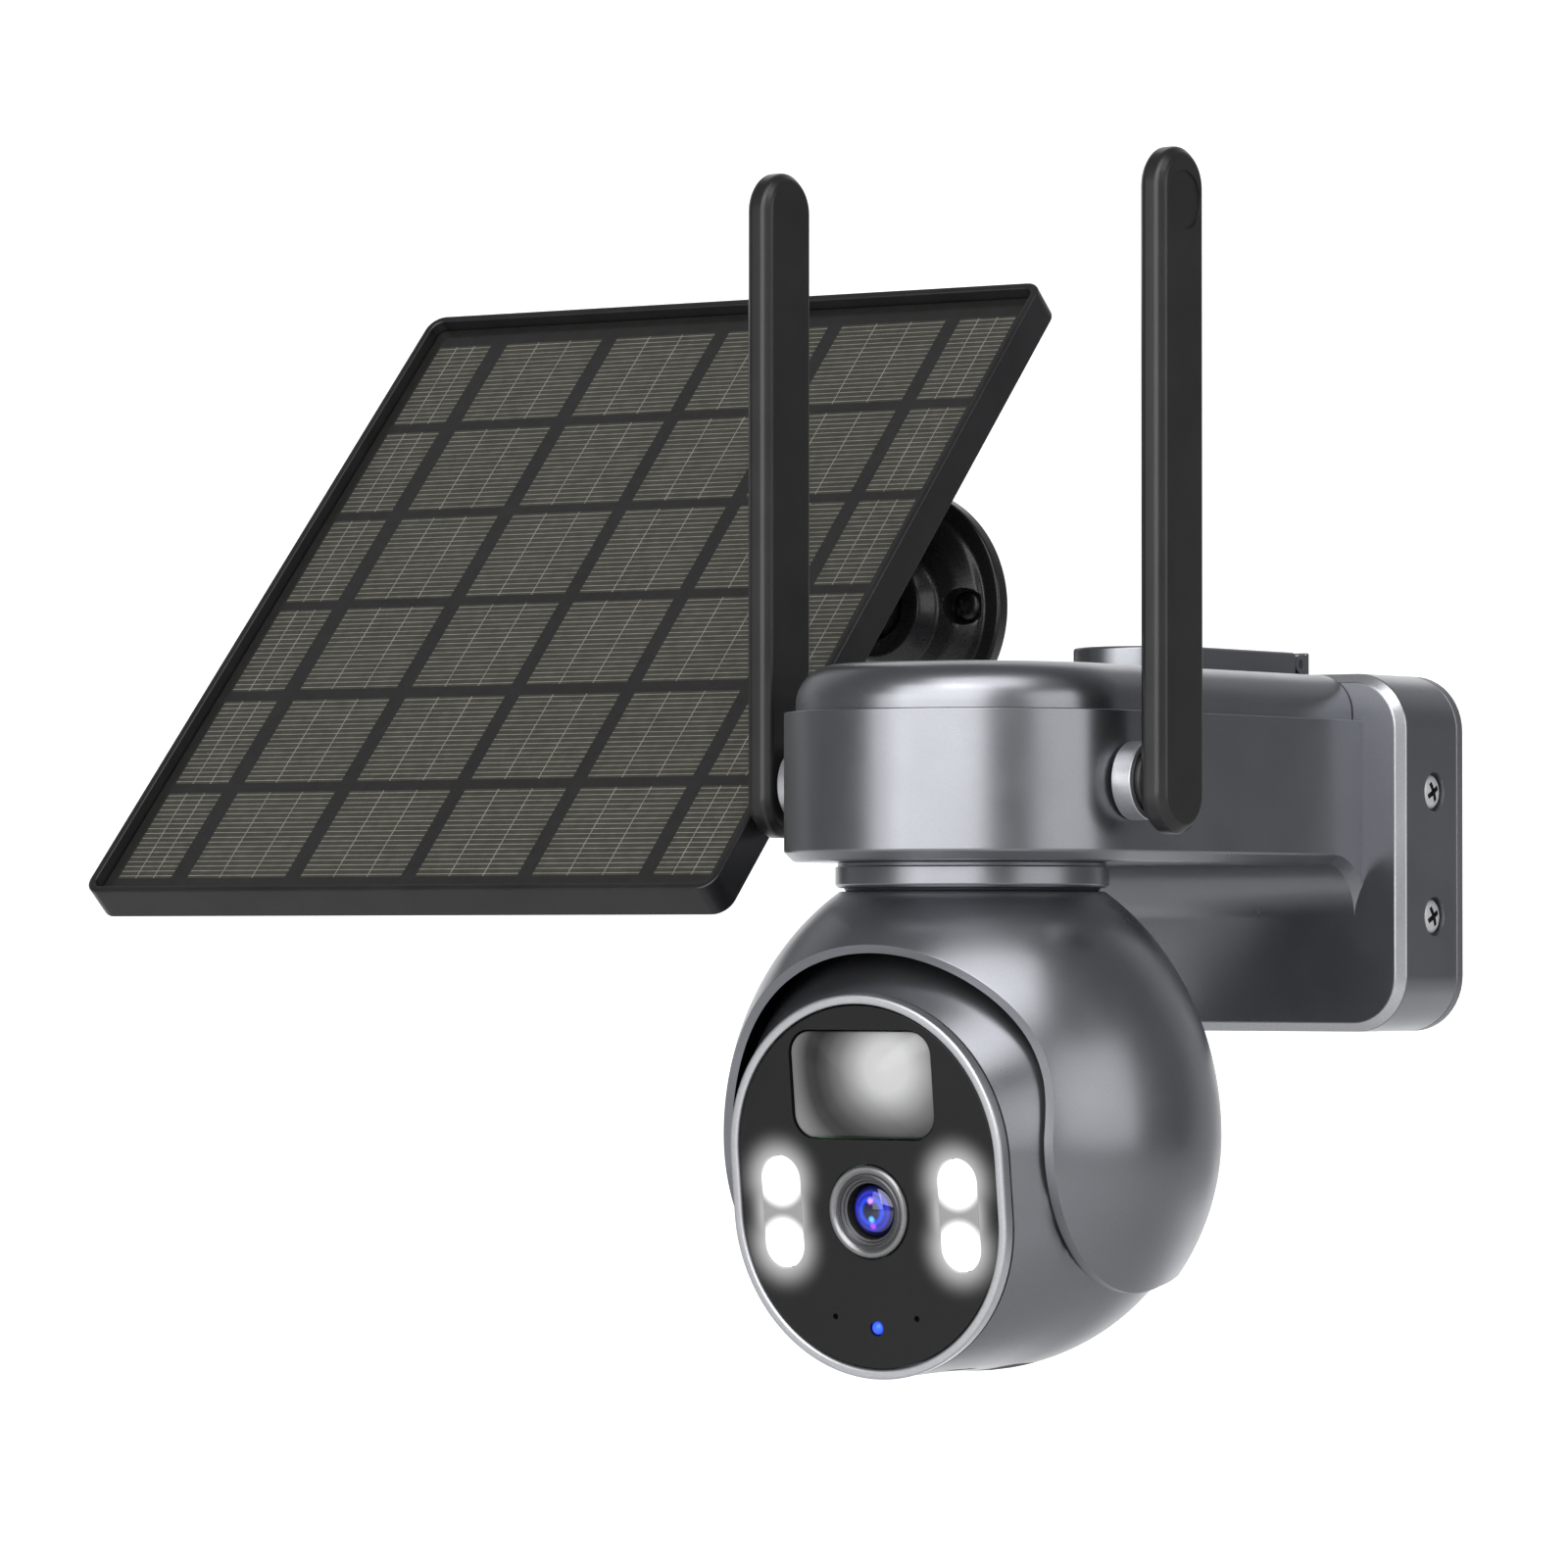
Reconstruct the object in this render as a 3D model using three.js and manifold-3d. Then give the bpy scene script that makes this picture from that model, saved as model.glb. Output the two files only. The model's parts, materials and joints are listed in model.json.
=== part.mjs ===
// Solar-powered pan and tilt security camera with its wall-mounted solar panel.
// Millimetres, +Z up, the wall is the plane Y = 0 and the camera looks along -Y.
// The origin is the centre of the camera wall plate's back face.
import * as THREE from 'three';
import { mergeVertices } from 'three/addons/utils/BufferGeometryUtils.js';
import Module from 'manifold-3d';

const wasm = await Module();
wasm.setup();

// ---------- driving dimensions ----------
const DEG = Math.PI / 180;
const GAP = 0.3;

// Wall box and plate
const BOX = { halfW: 46.5, halfH: 36.5, corner: 11.5, front: -24.5, chamfer: 1.8, wall: 4 };
const PLATE_THICK = 2.5;
const SIDE_SCREW = { y: -11.6, z: [12.4, -13.0], headR: 3.5, headH: 1.5, recessR: 4, recessDepth: 1.8 };

// Arm, round housing and top cover
const PAN_Y = -112;
const ARM = { halfW: 37.1, bottom: -2.5, seam: 26.9, wall: 3.5, floor: 3, chamfer: 2, fillet: 11 };
const COVER = { halfW: 34.8, top: 36.3, round: 8, wall: 2.2 };
const HATCH = { halfW: 14, front: -63.5, hinge: -10.5, rear: -7, bottom: 36.8, top: 41.6 };
const BAY = { halfW: 8, front: -57, rear: -30, depth: 3.4 };
const MOTOR_EAR = 26.6;
const NECK = { radius: 27, top: -2.6, bottom: -7.65, bore: 18.6 };

// Antennas
const ANTENNA = { x: 46.5, pivotZ: 13.05, bottom: 2.55, top: 136, width: 16, thick: 6, edge: 1.2 };
const BOSS = { radius: 7.7, bore: 6.3, inner: 37.3, outer: 41.7 };

// Head
const TILT_Z = -56.15;
const HOOD = { radius: 49, height: 56.5, top: 47.8, wall: 1.6, earR: 30.2 };
const BALL = { radius: 46.4, wall: 2.2, blend: 8, front: 34.8 };
const FACE = { pitch: 6.5, front: 37.9, a: 31.75, straight: 5.75, drop: -5.3, rim: 1.85 };
const LENS = { z: FACE.drop - 4.75, outer: 9.05, glass: 5.1 };
const PIR = { z: FACE.drop + 19.9, w: 32.4, h: 20.6, corner: 4.5 };
const LED = { x: 20.6, z: [FACE.drop + 1.2, FACE.drop - 11.5], radius: 4.2, windowW: 9.2, windowH: 21.9 };
const STATUS_Z = FACE.drop - 27.5;
const MIC = { x: 9.5, z: FACE.drop - 25.4, radius: 0.6 };
const AXLE_R = 2.5;
const POLE_FLAT = 41.5;

// Solar panel and bracket
const PANEL = { x: -132, y: -69.3, z: 57.1, w: 163, h: 177, thick: 8, lean: 43.1, wall: 1.8, ledge: 4.5, corner: 4 };
const BRACKET = { pivot: 22, lugR: 7, lugW: 8, earW: 3.6, plateW: 34, plateH: 44 };
const BASE = { x: -91, z: 53.5, radius: 26, rim: 4, dome: 13, screwR: 18.6 };

// ---------- geometry helpers ----------
const FORWARD = new THREE.Matrix4().makeBasis(
  new THREE.Vector3(1, 0, 0), new THREE.Vector3(0, 0, 1), new THREE.Vector3(0, -1, 0));
const SIDEWAYS = new THREE.Matrix4().makeBasis(
  new THREE.Vector3(0, 1, 0), new THREE.Vector3(0, 0, 1), new THREE.Vector3(1, 0, 0));
const UPWARD = new THREE.Matrix4();

// Merge shared corners and turn the faces outwards.
function closed(geometry) {
  const g = geometry.clone();
  g.deleteAttribute('normal');
  if (g.attributes.uv) g.deleteAttribute('uv');
  const merged = mergeVertices(g, 1e-4);
  const p = merged.attributes.position;
  const index = Array.from(merged.index.array);
  const faces = [];
  let volume = 0;
  for (let i = 0; i < index.length; i += 3) {
    const [a, b, c] = [index[i], index[i + 1], index[i + 2]];
    if (a === b || b === c || c === a) continue;
    faces.push(a, b, c);
    const va = new THREE.Vector3().fromBufferAttribute(p, a);
    const vb = new THREE.Vector3().fromBufferAttribute(p, b);
    const vc = new THREE.Vector3().fromBufferAttribute(p, c);
    volume += va.dot(vb.cross(vc));
  }
  if (volume < 0) faces.reverse();
  merged.setIndex(faces);
  return merged;
}

function toSolid(shape) {
  if (!shape.isBufferGeometry) return shape;
  const g = closed(shape);
  return new wasm.Manifold(new wasm.Mesh({
    numProp: 3,
    vertProperties: new Float32Array(g.attributes.position.array),
    triVerts: new Uint32Array(g.index.array),
  }));
}

function toGeometry(shape) {
  if (shape.isBufferGeometry) return closed(shape);
  const mesh = shape.getMesh();
  const g = new THREE.BufferGeometry();
  g.setAttribute('position', new THREE.BufferAttribute(new Float32Array(mesh.vertProperties), 3));
  g.setIndex(Array.from(mesh.triVerts));
  return g;
}

const join = (first, ...rest) => rest.reduce((sum, s) => sum.add(toSolid(s)), toSolid(first));
const cut = (first, ...rest) => rest.reduce((sum, s) => sum.subtract(toSolid(s)), toSolid(first));
const common = (first, second) => toSolid(first).intersect(toSolid(second));

const moved = (geometry, x, y, z) => geometry.clone().translate(x, y, z);
const box = (x0, x1, y0, y1, z0, z1) =>
  new THREE.BoxGeometry(x1 - x0, y1 - y0, z1 - z0).translate((x0 + x1) / 2, (y0 + y1) / 2, (z0 + z1) / 2);

// A profile of [radius, height] pairs turned about Z, X, or the forward axis -Y.
function turned(profile, segments, basis = UPWARD) {
  const points = profile.map(([r, h]) => new THREE.Vector2(r, h));
  return new THREE.LatheGeometry(points, segments).rotateX(90 * DEG).applyMatrix4(basis);
}

const rod = (radius, from, to, segments = 24, basis = UPWARD) =>
  turned([[0, from], [radius, from], [radius, to], [0, to]], segments, basis);

function tube(outer, inner, from, to, segments = 32, basis = UPWARD) {
  return turned([[inner, from], [outer, from], [outer, to], [inner, to], [inner, from]], segments, basis);
}

// A flat outline pushed from one height to another, with an optional chamfer or round on its edges.
function pushed(shape, from, to, basis = UPWARD, edge = 0, steps = 1, curveSegments = 4) {
  const options = { depth: to - from - 2 * edge, curveSegments, bevelEnabled: edge > 0 };
  if (edge > 0) {
    Object.assign(options,
      { bevelSize: edge, bevelThickness: edge, bevelOffset: -edge, bevelSegments: steps });
  }
  return new THREE.ExtrudeGeometry(shape, options).translate(0, 0, from + edge).applyMatrix4(basis);
}

function roundedRect(w, h, r, cx = 0, cy = 0) {
  const s = new THREE.Shape();
  const [x, y] = [w / 2 - r, h / 2 - r];
  s.absarc(cx + x, cy + y, r, 0, 90 * DEG);
  s.absarc(cx - x, cy + y, r, 90 * DEG, 180 * DEG);
  s.absarc(cx - x, cy - y, r, 180 * DEG, 270 * DEG);
  s.absarc(cx + x, cy - y, r, 270 * DEG, 360 * DEG);
  s.closePath();
  return s;
}

// An upright or level slot outline with two half-circle ends.
function stadium(w, h, cx = 0, cy = 0) {
  const s = new THREE.Shape();
  const r = Math.min(w, h) / 2;
  const run = Math.max(w, h) / 2 - r;
  const [dx, dy, start] = h > w ? [0, run, 0] : [run, 0, -90];
  s.absarc(cx + dx, cy + dy, r, start * DEG, (start + 180) * DEG);
  s.absarc(cx - dx, cy - dy, r, (start + 180) * DEG, (start + 360) * DEG);
  s.closePath();
  return s;
}

const circle = (r, cx = 0, cy = 0) => new THREE.Shape().absarc(cx, cy, r, 0, 360 * DEG);

// A closed solid through rings of points that all have the same count.
function loft(rings) {
  const n = rings[0].length;
  const position = rings.flat().flatMap(p => [p.x, p.y, p.z]);
  const index = [];
  for (let i = 0; i < rings.length - 1; i++) {
    for (let j = 0; j < n; j++) {
      const a = i * n + j;
      const b = i * n + (j + 1) % n;
      index.push(a, b, b + n, a, b + n, a + n);
    }
  }
  for (const [ring, first, flip] of [[rings[0], 0, true], [rings.at(-1), (rings.length - 1) * n, false]]) {
    const centre = ring.reduce((sum, p) => sum.add(p), new THREE.Vector3()).divideScalar(n);
    const hub = position.push(centre.x, centre.y, centre.z) / 3 - 1;
    for (let j = 0; j < n; j++) {
      const edge = [first + j, first + (j + 1) % n];
      index.push(...(flip ? edge.reverse() : edge), hub);
    }
  }
  const g = new THREE.BufferGeometry();
  g.setAttribute('position', new THREE.Float32BufferAttribute(position, 3));
  g.setIndex(index);
  return g;
}

// ---------- materials ----------
const look = (color, roughness, metalness) =>
  new THREE.MeshStandardMaterial({ color, roughness, metalness });
const GUNMETAL = [0x5b5e66, 0.36, 0.65];
const SILVER = [0xb4b7be, 0.3, 0.8];
const BLACK = [0x1d1e20, 0.5, 0.0];
const GLOSS = [0x0d0e10, 0.1, 0.0];
const STEEL = [0xa7a9ac, 0.3, 1.0];
const GREEN = [0x1e5a34, 0.5, 0.1];
const RUBBER = [0x141516, 0.8, 0.0];

const camera = new THREE.Group();

function add(parent, name, shape, finish) {
  const mesh = new THREE.Mesh(toGeometry(shape), look(...finish));
  mesh.name = name;
  parent.add(mesh);
  return mesh;
}

// ---------- fasteners ----------
// A Phillips pan-head screw along +Z, with the underside of its head at height 0.
function phillipsScrew(headR, headH, shankR, length) {
  const body = turned([
    [0, -length], [shankR, -length], [shankR, 0],
    [headR, 0], [headR, headH * 0.45], [headR * 0.7, headH], [0, headH],
  ], 12);
  const arm = headR * 0.6;
  const slot = headR * 0.16;
  return cut(body,
    box(-arm, arm, -slot, slot, headH * 0.3, headH + 1),
    box(-slot, slot, -arm, arm, headH * 0.3, headH + 1));
}

// ---------- wall plate and arm housing ----------
function wallPlate() {
  const outline = roundedRect(2 * BOX.halfW, 2 * BOX.halfH, BOX.corner);
  for (const x of [-20, 20]) {
    for (const z of [-27, 27]) outline.holes.push(circle(2.3, x, z));
  }
  const plate = pushed(outline, 0, PLATE_THICK, FORWARD, 0, 1, 3);
  const inside = BOX.halfW - BOX.wall - GAP;
  const parts = [plate];
  for (const side of [-1, 1]) {
    for (const z of SIDE_SCREW.z) {
      const x = side * (inside - 1.5);
      const tab = box(x - 1.5, x + 1.5, -17.5, -PLATE_THICK + 0.5, z - 5.5, z + 5.5);
      parts.push(cut(tab, moved(rod(1.8, -6, 6, 8, SIDEWAYS), x, SIDE_SCREW.y, z)));
    }
  }
  return join(...parts);
}

// Plan outline of the arm: straight sides, and a half circle about the pan axis.
function armOutline(halfW, rear, z, steps = 18) {
  const ring = [new THREE.Vector3(halfW, rear, z)];
  for (let i = 0; i <= steps; i++) {
    const a = -Math.PI * i / steps;
    ring.push(new THREE.Vector3(halfW * Math.cos(a), PAN_Y + halfW * Math.sin(a), z));
  }
  ring.push(new THREE.Vector3(-halfW, rear, z));
  return ring;
}

function boxOutline(inset, y) {
  const shape = roundedRect(2 * (BOX.halfW - inset), 2 * (BOX.halfH - inset), BOX.corner - inset);
  return shape.extractPoints(3).shape.map(p => new THREE.Vector3(p.x, y, p.y));
}

// Concave fillet between the arm's underside and the front face of the box, chamfered as the arm is.
function armFillet() {
  const reach = 3;
  const ring = (x, inset) => {
    const s = new THREE.Shape();
    const [y, z] = [BOX.front - ARM.fillet, ARM.bottom - ARM.fillet];
    s.moveTo(BOX.front + reach, ARM.bottom + reach);
    s.lineTo(y, ARM.bottom + reach);
    s.absarc(y, z, ARM.fillet + inset, 90 * DEG, 0, true);
    s.lineTo(BOX.front + reach, z);
    return s.extractPoints(4).shape.map(p => new THREE.Vector3(x, p.x, p.y));
  };
  const inner = ARM.halfW - ARM.chamfer;
  return loft([ring(-ARM.halfW, ARM.chamfer), ring(-inner, 0), ring(inner, 0), ring(ARM.halfW, ARM.chamfer)]);
}

function armHousing() {
  const arm = loft([
    armOutline(ARM.halfW - ARM.chamfer, BOX.front + 1, ARM.bottom),
    armOutline(ARM.halfW - ARM.chamfer * 0.3, BOX.front + 1, ARM.bottom + ARM.chamfer * 0.3),
    armOutline(ARM.halfW, BOX.front + 1, ARM.bottom + ARM.chamfer),
    armOutline(ARM.halfW, BOX.front + 1, ARM.seam),
  ]);
  const wallBox = loft([
    boxOutline(BOX.chamfer, BOX.front),
    boxOutline(0, BOX.front + BOX.chamfer),
    boxOutline(0, -PLATE_THICK - 0.1),
  ]);
  const floor = ARM.bottom + ARM.floor;
  const inner = ARM.halfW - ARM.wall;
  const armRoom = loft([
    armOutline(inner, BOX.front - 3, floor, 16),
    armOutline(inner, BOX.front - 3, ARM.seam + 1, 16),
  ]);
  const room = roundedRect(2 * (BOX.halfW - BOX.wall), 2 * (BOX.halfH - BOX.wall), BOX.corner - BOX.wall);
  const boxRoom = pushed(room, 0, -BOX.front - 3, FORWARD, 0, 1, 2);
  let shell = cut(join(arm, wallBox, armFillet()), armRoom, boxRoom);

  // wire pass-through, pan shaft hole, antenna pivots, solar inlet hole
  shell = cut(shell,
    moved(rod(5, 0, 12, 16, FORWARD), 0, BOX.front + 5, 14),
    moved(rod(NECK.bore, -10, 6, 32), 0, PAN_Y, 0),
    moved(rod(3.3, -60, 60, 16, SIDEWAYS), 0, PAN_Y, ANTENNA.pivotZ),
    moved(rod(4.3, -BOX.halfH - 2, -BOX.halfH + 8, 20), -25, -13.5, 0));
  for (const side of [-1, 1]) {
    for (const z of SIDE_SCREW.z) {
      const x = side * BOX.halfW;
      shell = cut(shell,
        moved(rod(SIDE_SCREW.recessR, -SIDE_SCREW.recessDepth, SIDE_SCREW.recessDepth, 14, SIDEWAYS),
          x, SIDE_SCREW.y, z),
        moved(rod(1.9, -8, 8, 8, SIDEWAYS), x, SIDE_SCREW.y, z));
    }
    // motor post
    shell = join(shell, moved(rod(2.6, floor - 1, 8.8, 12), side * MOTOR_EAR, PAN_Y, 0));
  }
  return shell;
}

// Domed lid: its edge is a quarter round, and a card bay is sunk in its top.
function topCover() {
  const rear = BOX.front - GAP;
  const dome = (halfW, base, top, steps) => {
    const rings = [armOutline(halfW, rear, base)];
    for (let i = 0; i <= steps; i++) {
      const a = 90 * DEG * i / steps;
      const inset = COVER.round * (1 - Math.cos(a));
      rings.push(armOutline(halfW - inset, rear, top - COVER.round * (1 - Math.sin(a))));
    }
    return rings;
  };
  const outer = loft(dome(COVER.halfW, ARM.seam + 0.1, COVER.top, 5));
  const room = loft([
    armOutline(COVER.halfW - 3.2, rear - 3, ARM.seam - 2, 14),
    armOutline(COVER.halfW - 3.2, rear - 3, COVER.top - COVER.round, 14),
    armOutline(COVER.halfW - COVER.round + 1, rear - 3, COVER.top - COVER.wall, 14),
  ]);
  const bayFloor = COVER.top - BAY.depth;
  const bay = { x: BAY.halfW, y0: BAY.front, y1: BAY.rear };
  const bayWall = box(-bay.x - 2, bay.x + 2, bay.y0 - 2, bay.y1 + 2, bayFloor - 2, COVER.top - 1);
  return cut(join(cut(outer, room), bayWall),
    box(-bay.x, bay.x, bay.y0, bay.y1, bayFloor, COVER.top + 1),
    moved(rod(1.8, -4, 4, 16), 0, BAY.front + 5, bayFloor));
}

function hatchOutline(halfW, front, rear) {
  const s = new THREE.Shape();
  s.moveTo(halfW, rear);
  s.lineTo(-halfW, rear);
  s.absarc(0, front + halfW, halfW, 180 * DEG, 360 * DEG);
  s.closePath();
  return s;
}

function addWallSide() {
  add(camera, 'wall_plate', wallPlate(), [0x55575c, 0.4, 0.7]);
  add(camera, 'arm_housing', armHousing(), GUNMETAL);
  add(camera, 'top_cover', topCover(), GUNMETAL);

  const screw = toGeometry(phillipsScrew(SIDE_SCREW.headR, SIDE_SCREW.headH, 1.5, 8));
  let number = 1;
  for (const side of [-1, 1]) {
    for (const z of SIDE_SCREW.z) {
      const mesh = add(camera, `side_screw_${number++}`, screw, STEEL);
      mesh.rotation.set(0, side * 90 * DEG, 0);
      mesh.position.set(side * (BOX.halfW - SIDE_SCREW.recessDepth + 0.1), SIDE_SCREW.y, z);
    }
  }

  const neck = turned([
    [NECK.bore, NECK.bottom], [NECK.radius - 0.6, NECK.bottom], [NECK.radius, NECK.bottom + 0.6],
    [NECK.radius, NECK.top], [NECK.bore, NECK.top], [NECK.bore, NECK.bottom],
  ], 32);
  add(camera, 'neck_ring', moved(neck, 0, PAN_Y, 0), GUNMETAL);
}

// ---------- service hatch on top of the arm ----------
function addHatch() {
  const pinZ = (HATCH.bottom + HATCH.top) / 2;
  const knuckle = 2.1;
  const lid = cut(
    pushed(hatchOutline(HATCH.halfW, HATCH.front, HATCH.hinge), HATCH.bottom, HATCH.top, UPWARD, 0.5, 1, 7),
    box(-20, 20, HATCH.hinge - knuckle, HATCH.hinge + 1, HATCH.bottom - 1, HATCH.top + 1));
  const lug = join(
    moved(rod(knuckle - 0.2, -6, 6, 12, SIDEWAYS), 0, HATCH.hinge, pinZ),
    box(-6, 6, HATCH.hinge - knuckle - 1, HATCH.hinge, pinZ - 1.5, pinZ + 1.5));
  const pinHole = moved(rod(0.9, -20, 20, 8, SIDEWAYS), 0, HATCH.hinge, pinZ);
  add(camera, 'service_hatch', cut(join(lid, lug), pinHole), GUNMETAL);

  const ears = [];
  for (const side of [-1, 1]) {
    const inner = 6.3;
    const outer = HATCH.halfW;
    const [x0, x1] = side > 0 ? [inner, outer] : [-outer, -inner];
    ears.push(moved(rod(knuckle - 0.2, x0, x1, 12, SIDEWAYS), 0, HATCH.hinge, pinZ));
    ears.push(box(x0, x1, HATCH.hinge, HATCH.rear, pinZ - 1.9, pinZ + 1.9));
  }
  const block = join(
    box(-HATCH.halfW, HATCH.halfW, HATCH.rear - 1.2, HATCH.rear, BOX.halfH + 0.1, HATCH.top), ...ears);
  add(camera, 'hatch_hinge_block', cut(block, pinHole), GUNMETAL);
  add(camera, 'hatch_pin', moved(rod(0.75, -13, 13, 8, SIDEWAYS), 0, HATCH.hinge, pinZ), STEEL);

  const bayY = (BAY.rear + BAY.front) / 2;
  const bayLength = BAY.rear - BAY.front;
  const seal = roundedRect(2 * BAY.halfW + 3.6, bayLength + 3.6, 3, 0, bayY);
  seal.holes.push(roundedRect(2 * BAY.halfW + 1, bayLength + 1, 2, 0, bayY));
  add(camera, 'hatch_gasket', pushed(seal, COVER.top + 0.05, HATCH.bottom - 0.15, UPWARD, 0, 1, 1), RUBBER);

  const bayFloor = COVER.top - BAY.depth;
  const socket = cut(box(-6.5, 6.5, -46, -32, bayFloor + 0.1, bayFloor + 2.2),
    box(-5.5, 5.5, -47, -33, bayFloor + 0.7, bayFloor + 1.7));
  add(camera, 'card_socket', socket, STEEL);
  const button = turned([
    [0, -3.4], [3, -3.4], [3, -2.6], [1.6, -2.6], [1.6, 2], [1.3, 2.3], [0, 2.3],
  ], 12);
  add(camera, 'reset_button', moved(button, 0, BAY.front + 5, bayFloor), RUBBER);
}

// ---------- inside the arm and the wall box ----------
function addInsides() {
  const floor = ARM.bottom + ARM.floor;
  const board = join(
    box(-28, 28, -78, -32, floor + 3, floor + 4.6),
    box(-12, 4, -70, -54, floor + 4, floor + 6.4),
    box(9, 20, -66, -52, floor + 4, floor + 7),
    box(-24, -16, -50, -38, floor + 4, floor + 9),
    box(12, 26, -46, -36, floor + 4, floor + 8));
  const stands = [[-25, -75], [25, -75], [-25, -35], [25, -35]]
    .map(([x, y]) => moved(rod(2, floor + 0.1, floor + 3.5, 10), x, y, 0));
  add(camera, 'main_board', join(board, ...stands), GREEN);

  const motor = join(
    rod(13.5, 9.2, 25.5, 20),
    pushed(stadium(2 * MOTOR_EAR + 6, 6), 9.2, 10.6, UPWARD, 0, 1, 4),
    rod(2.4, 2.4, 10, 16));
  add(camera, 'pan_motor', moved(cut(motor, moved(rod(1.4, 8, 12, 10), MOTOR_EAR, 0, 0),
    moved(rod(1.4, 8, 12, 10), -MOTOR_EAR, 0, 0)), 0, PAN_Y, 0), STEEL);

  const cellY = -12.2;
  const cell = turned([
    [0, -32.5], [8.6, -32.5], [9, -32.1], [9, 31.5], [8.6, 31.9], [3, 31.9], [3, 32.8], [0, 32.8],
  ], 16, SIDEWAYS);
  [-19.2, 0, 19.2].forEach((z, i) => {
    add(camera, `battery_cell_${i + 1}`, moved(cell, 0, cellY, z), [0x2c6aa0, 0.4, 0.2]);
  });
  const tray = cut(box(-35.4, 35.4, cellY - 8.6, cellY + 8.6, -31, 31),
    box(-33.2, 33.2, cellY - 10, cellY + 10, -28.8, 28.8));
  add(camera, 'battery_tray', tray, BLACK);

  const inlet = turned([
    [0, -BOX.halfH + 4.8], [4, -BOX.halfH + 4.8], [4, -BOX.halfH - 0.1], [6.5, -BOX.halfH - 0.1],
    [6.5, -BOX.halfH - 2.6], [5.6, -BOX.halfH - 3.4], [5.6, -BOX.halfH - 8], [2.5, -BOX.halfH - 8],
    [2.5, -BOX.halfH + 3], [0.9, -BOX.halfH + 3], [0.9, -BOX.halfH - 5], [0, -BOX.halfH - 5],
  ], 16);
  add(camera, 'solar_inlet', moved(inlet, -25, -13.5, 0), BLACK);
}

// ---------- antennas ----------
function addAntenna(side, label) {
  const boss = tube(BOSS.radius, BOSS.bore, BOSS.inner, BOSS.outer, 28, SIDEWAYS);
  const z = (ANTENNA.bottom + ANTENNA.top) / 2;
  const blade = pushed(stadium(ANTENNA.width, ANTENNA.top - ANTENNA.bottom, PAN_Y, z),
    ANTENNA.x - ANTENNA.thick / 2, ANTENNA.x + ANTENNA.thick / 2, SIDEWAYS, ANTENNA.edge, 1, 6);
  const badge = moved(rod(6, ANTENNA.x + ANTENNA.thick / 2 - 0.3, 60, 16, SIDEWAYS),
    0, PAN_Y, ANTENNA.top - 10.5);
  const socket = moved(rod(2.3, 0, ANTENNA.x, 16, SIDEWAYS), 0, PAN_Y, ANTENNA.pivotZ);
  const hubEnd = ANTENNA.x - ANTENNA.thick / 2 - 0.2;
  const hub = turned([
    [0, 30.4], [2.6, 30.4], [4.2, 32.3], [4.2, 32.9], [3, 32.9], [3, 38],
    [6, 38], [6, hubEnd], [2, hubEnd], [2, ANTENNA.x - 0.3], [0, ANTENNA.x - 0.3],
  ], 14, SIDEWAYS);
  const mirror = geometry => {
    const g = toGeometry(geometry);
    if (side < 0) g.applyMatrix4(new THREE.Matrix4().makeRotationZ(180 * DEG)).translate(0, 2 * PAN_Y, 0);
    return g;
  };
  add(camera, `antenna_${label}`, mirror(cut(blade, badge, socket)), BLACK);
  add(camera, `antenna_hub_${label}`, mirror(moved(hub, 0, PAN_Y, ANTENNA.pivotZ)), BLACK);
  add(camera, `antenna_boss_${label}`, mirror(moved(boss, 0, PAN_Y, ANTENNA.pivotZ)), SILVER);
}

// ---------- turning head ----------
// The keep-line of the hood seen from the side: rear edge, ear circle and visor edge.
function hoodSideShape() {
  const s = new THREE.Shape();
  const [earStart, earEnd] = [285, 180];
  s.moveTo(60, -23.5);
  s.lineTo(49, -24);
  const earPoint = [HOOD.earR * Math.cos(earStart * DEG), HOOD.earR * Math.sin(earStart * DEG)];
  s.splineThru([[36, -25.4], [24, -26.9], [15, -28.1], earPoint].map(([y, z]) => new THREE.Vector2(y, z)));
  s.absarc(0, 0, HOOD.earR, earStart * DEG, earEnd * DEG, true);
  s.splineThru([[-29.4, 13], [-31.2, 24], [-36.8, 37.4]].map(([y, z]) => new THREE.Vector2(y, z)));
  s.lineTo(-44, 50);
  s.lineTo(-44, 70);
  s.lineTo(60, 70);
  s.closePath();
  return s;
}

// Half profile of the head: a sphere below the tilt axis and a taller dome above it.
function headProfile(inset, top, steps) {
  const r = HOOD.radius - inset;
  const h = HOOD.height - inset;
  const profile = [];
  for (let i = 0; i <= steps; i++) {
    const a = -90 * DEG + 90 * DEG * i / steps;
    profile.push([i === 0 ? 0 : r * Math.cos(a), r * Math.sin(a)]);
  }
  const end = Math.asin(top / h);
  for (let i = 1; i <= steps; i++) {
    profile.push([r * Math.cos(end * i / steps), h * Math.sin(end * i / steps)]);
  }
  profile.push([0, top]);
  return profile;
}

function hoodShell() {
  const shell = cut(turned(headProfile(0, HOOD.top, 6), 36),
    turned(headProfile(HOOD.wall, HOOD.top - 2.2, 7), 32));
  const kept = common(shell, pushed(hoodSideShape(), -60, 60, SIDEWAYS, 0, 1, 4));
  const inner = HOOD.radius - HOOD.wall;
  const boss = side => moved(rod(7, -2.6, 2.6, 24, SIDEWAYS), side * (inner - 2), 0, 0);
  const pinHole = side => {
    const ends = side > 0 ? [-3.4, 1.6] : [-1.6, 3.4];
    return moved(rod(AXLE_R + 0.1, ...ends, 16, SIDEWAYS), side * (inner - 2), 0, 0);
  };
  return cut(join(kept, boss(1), boss(-1)), pinHole(1), pinHole(-1),
    moved(rod(14.2, 40, 60, 32), 0, 0, 0));
}

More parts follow.
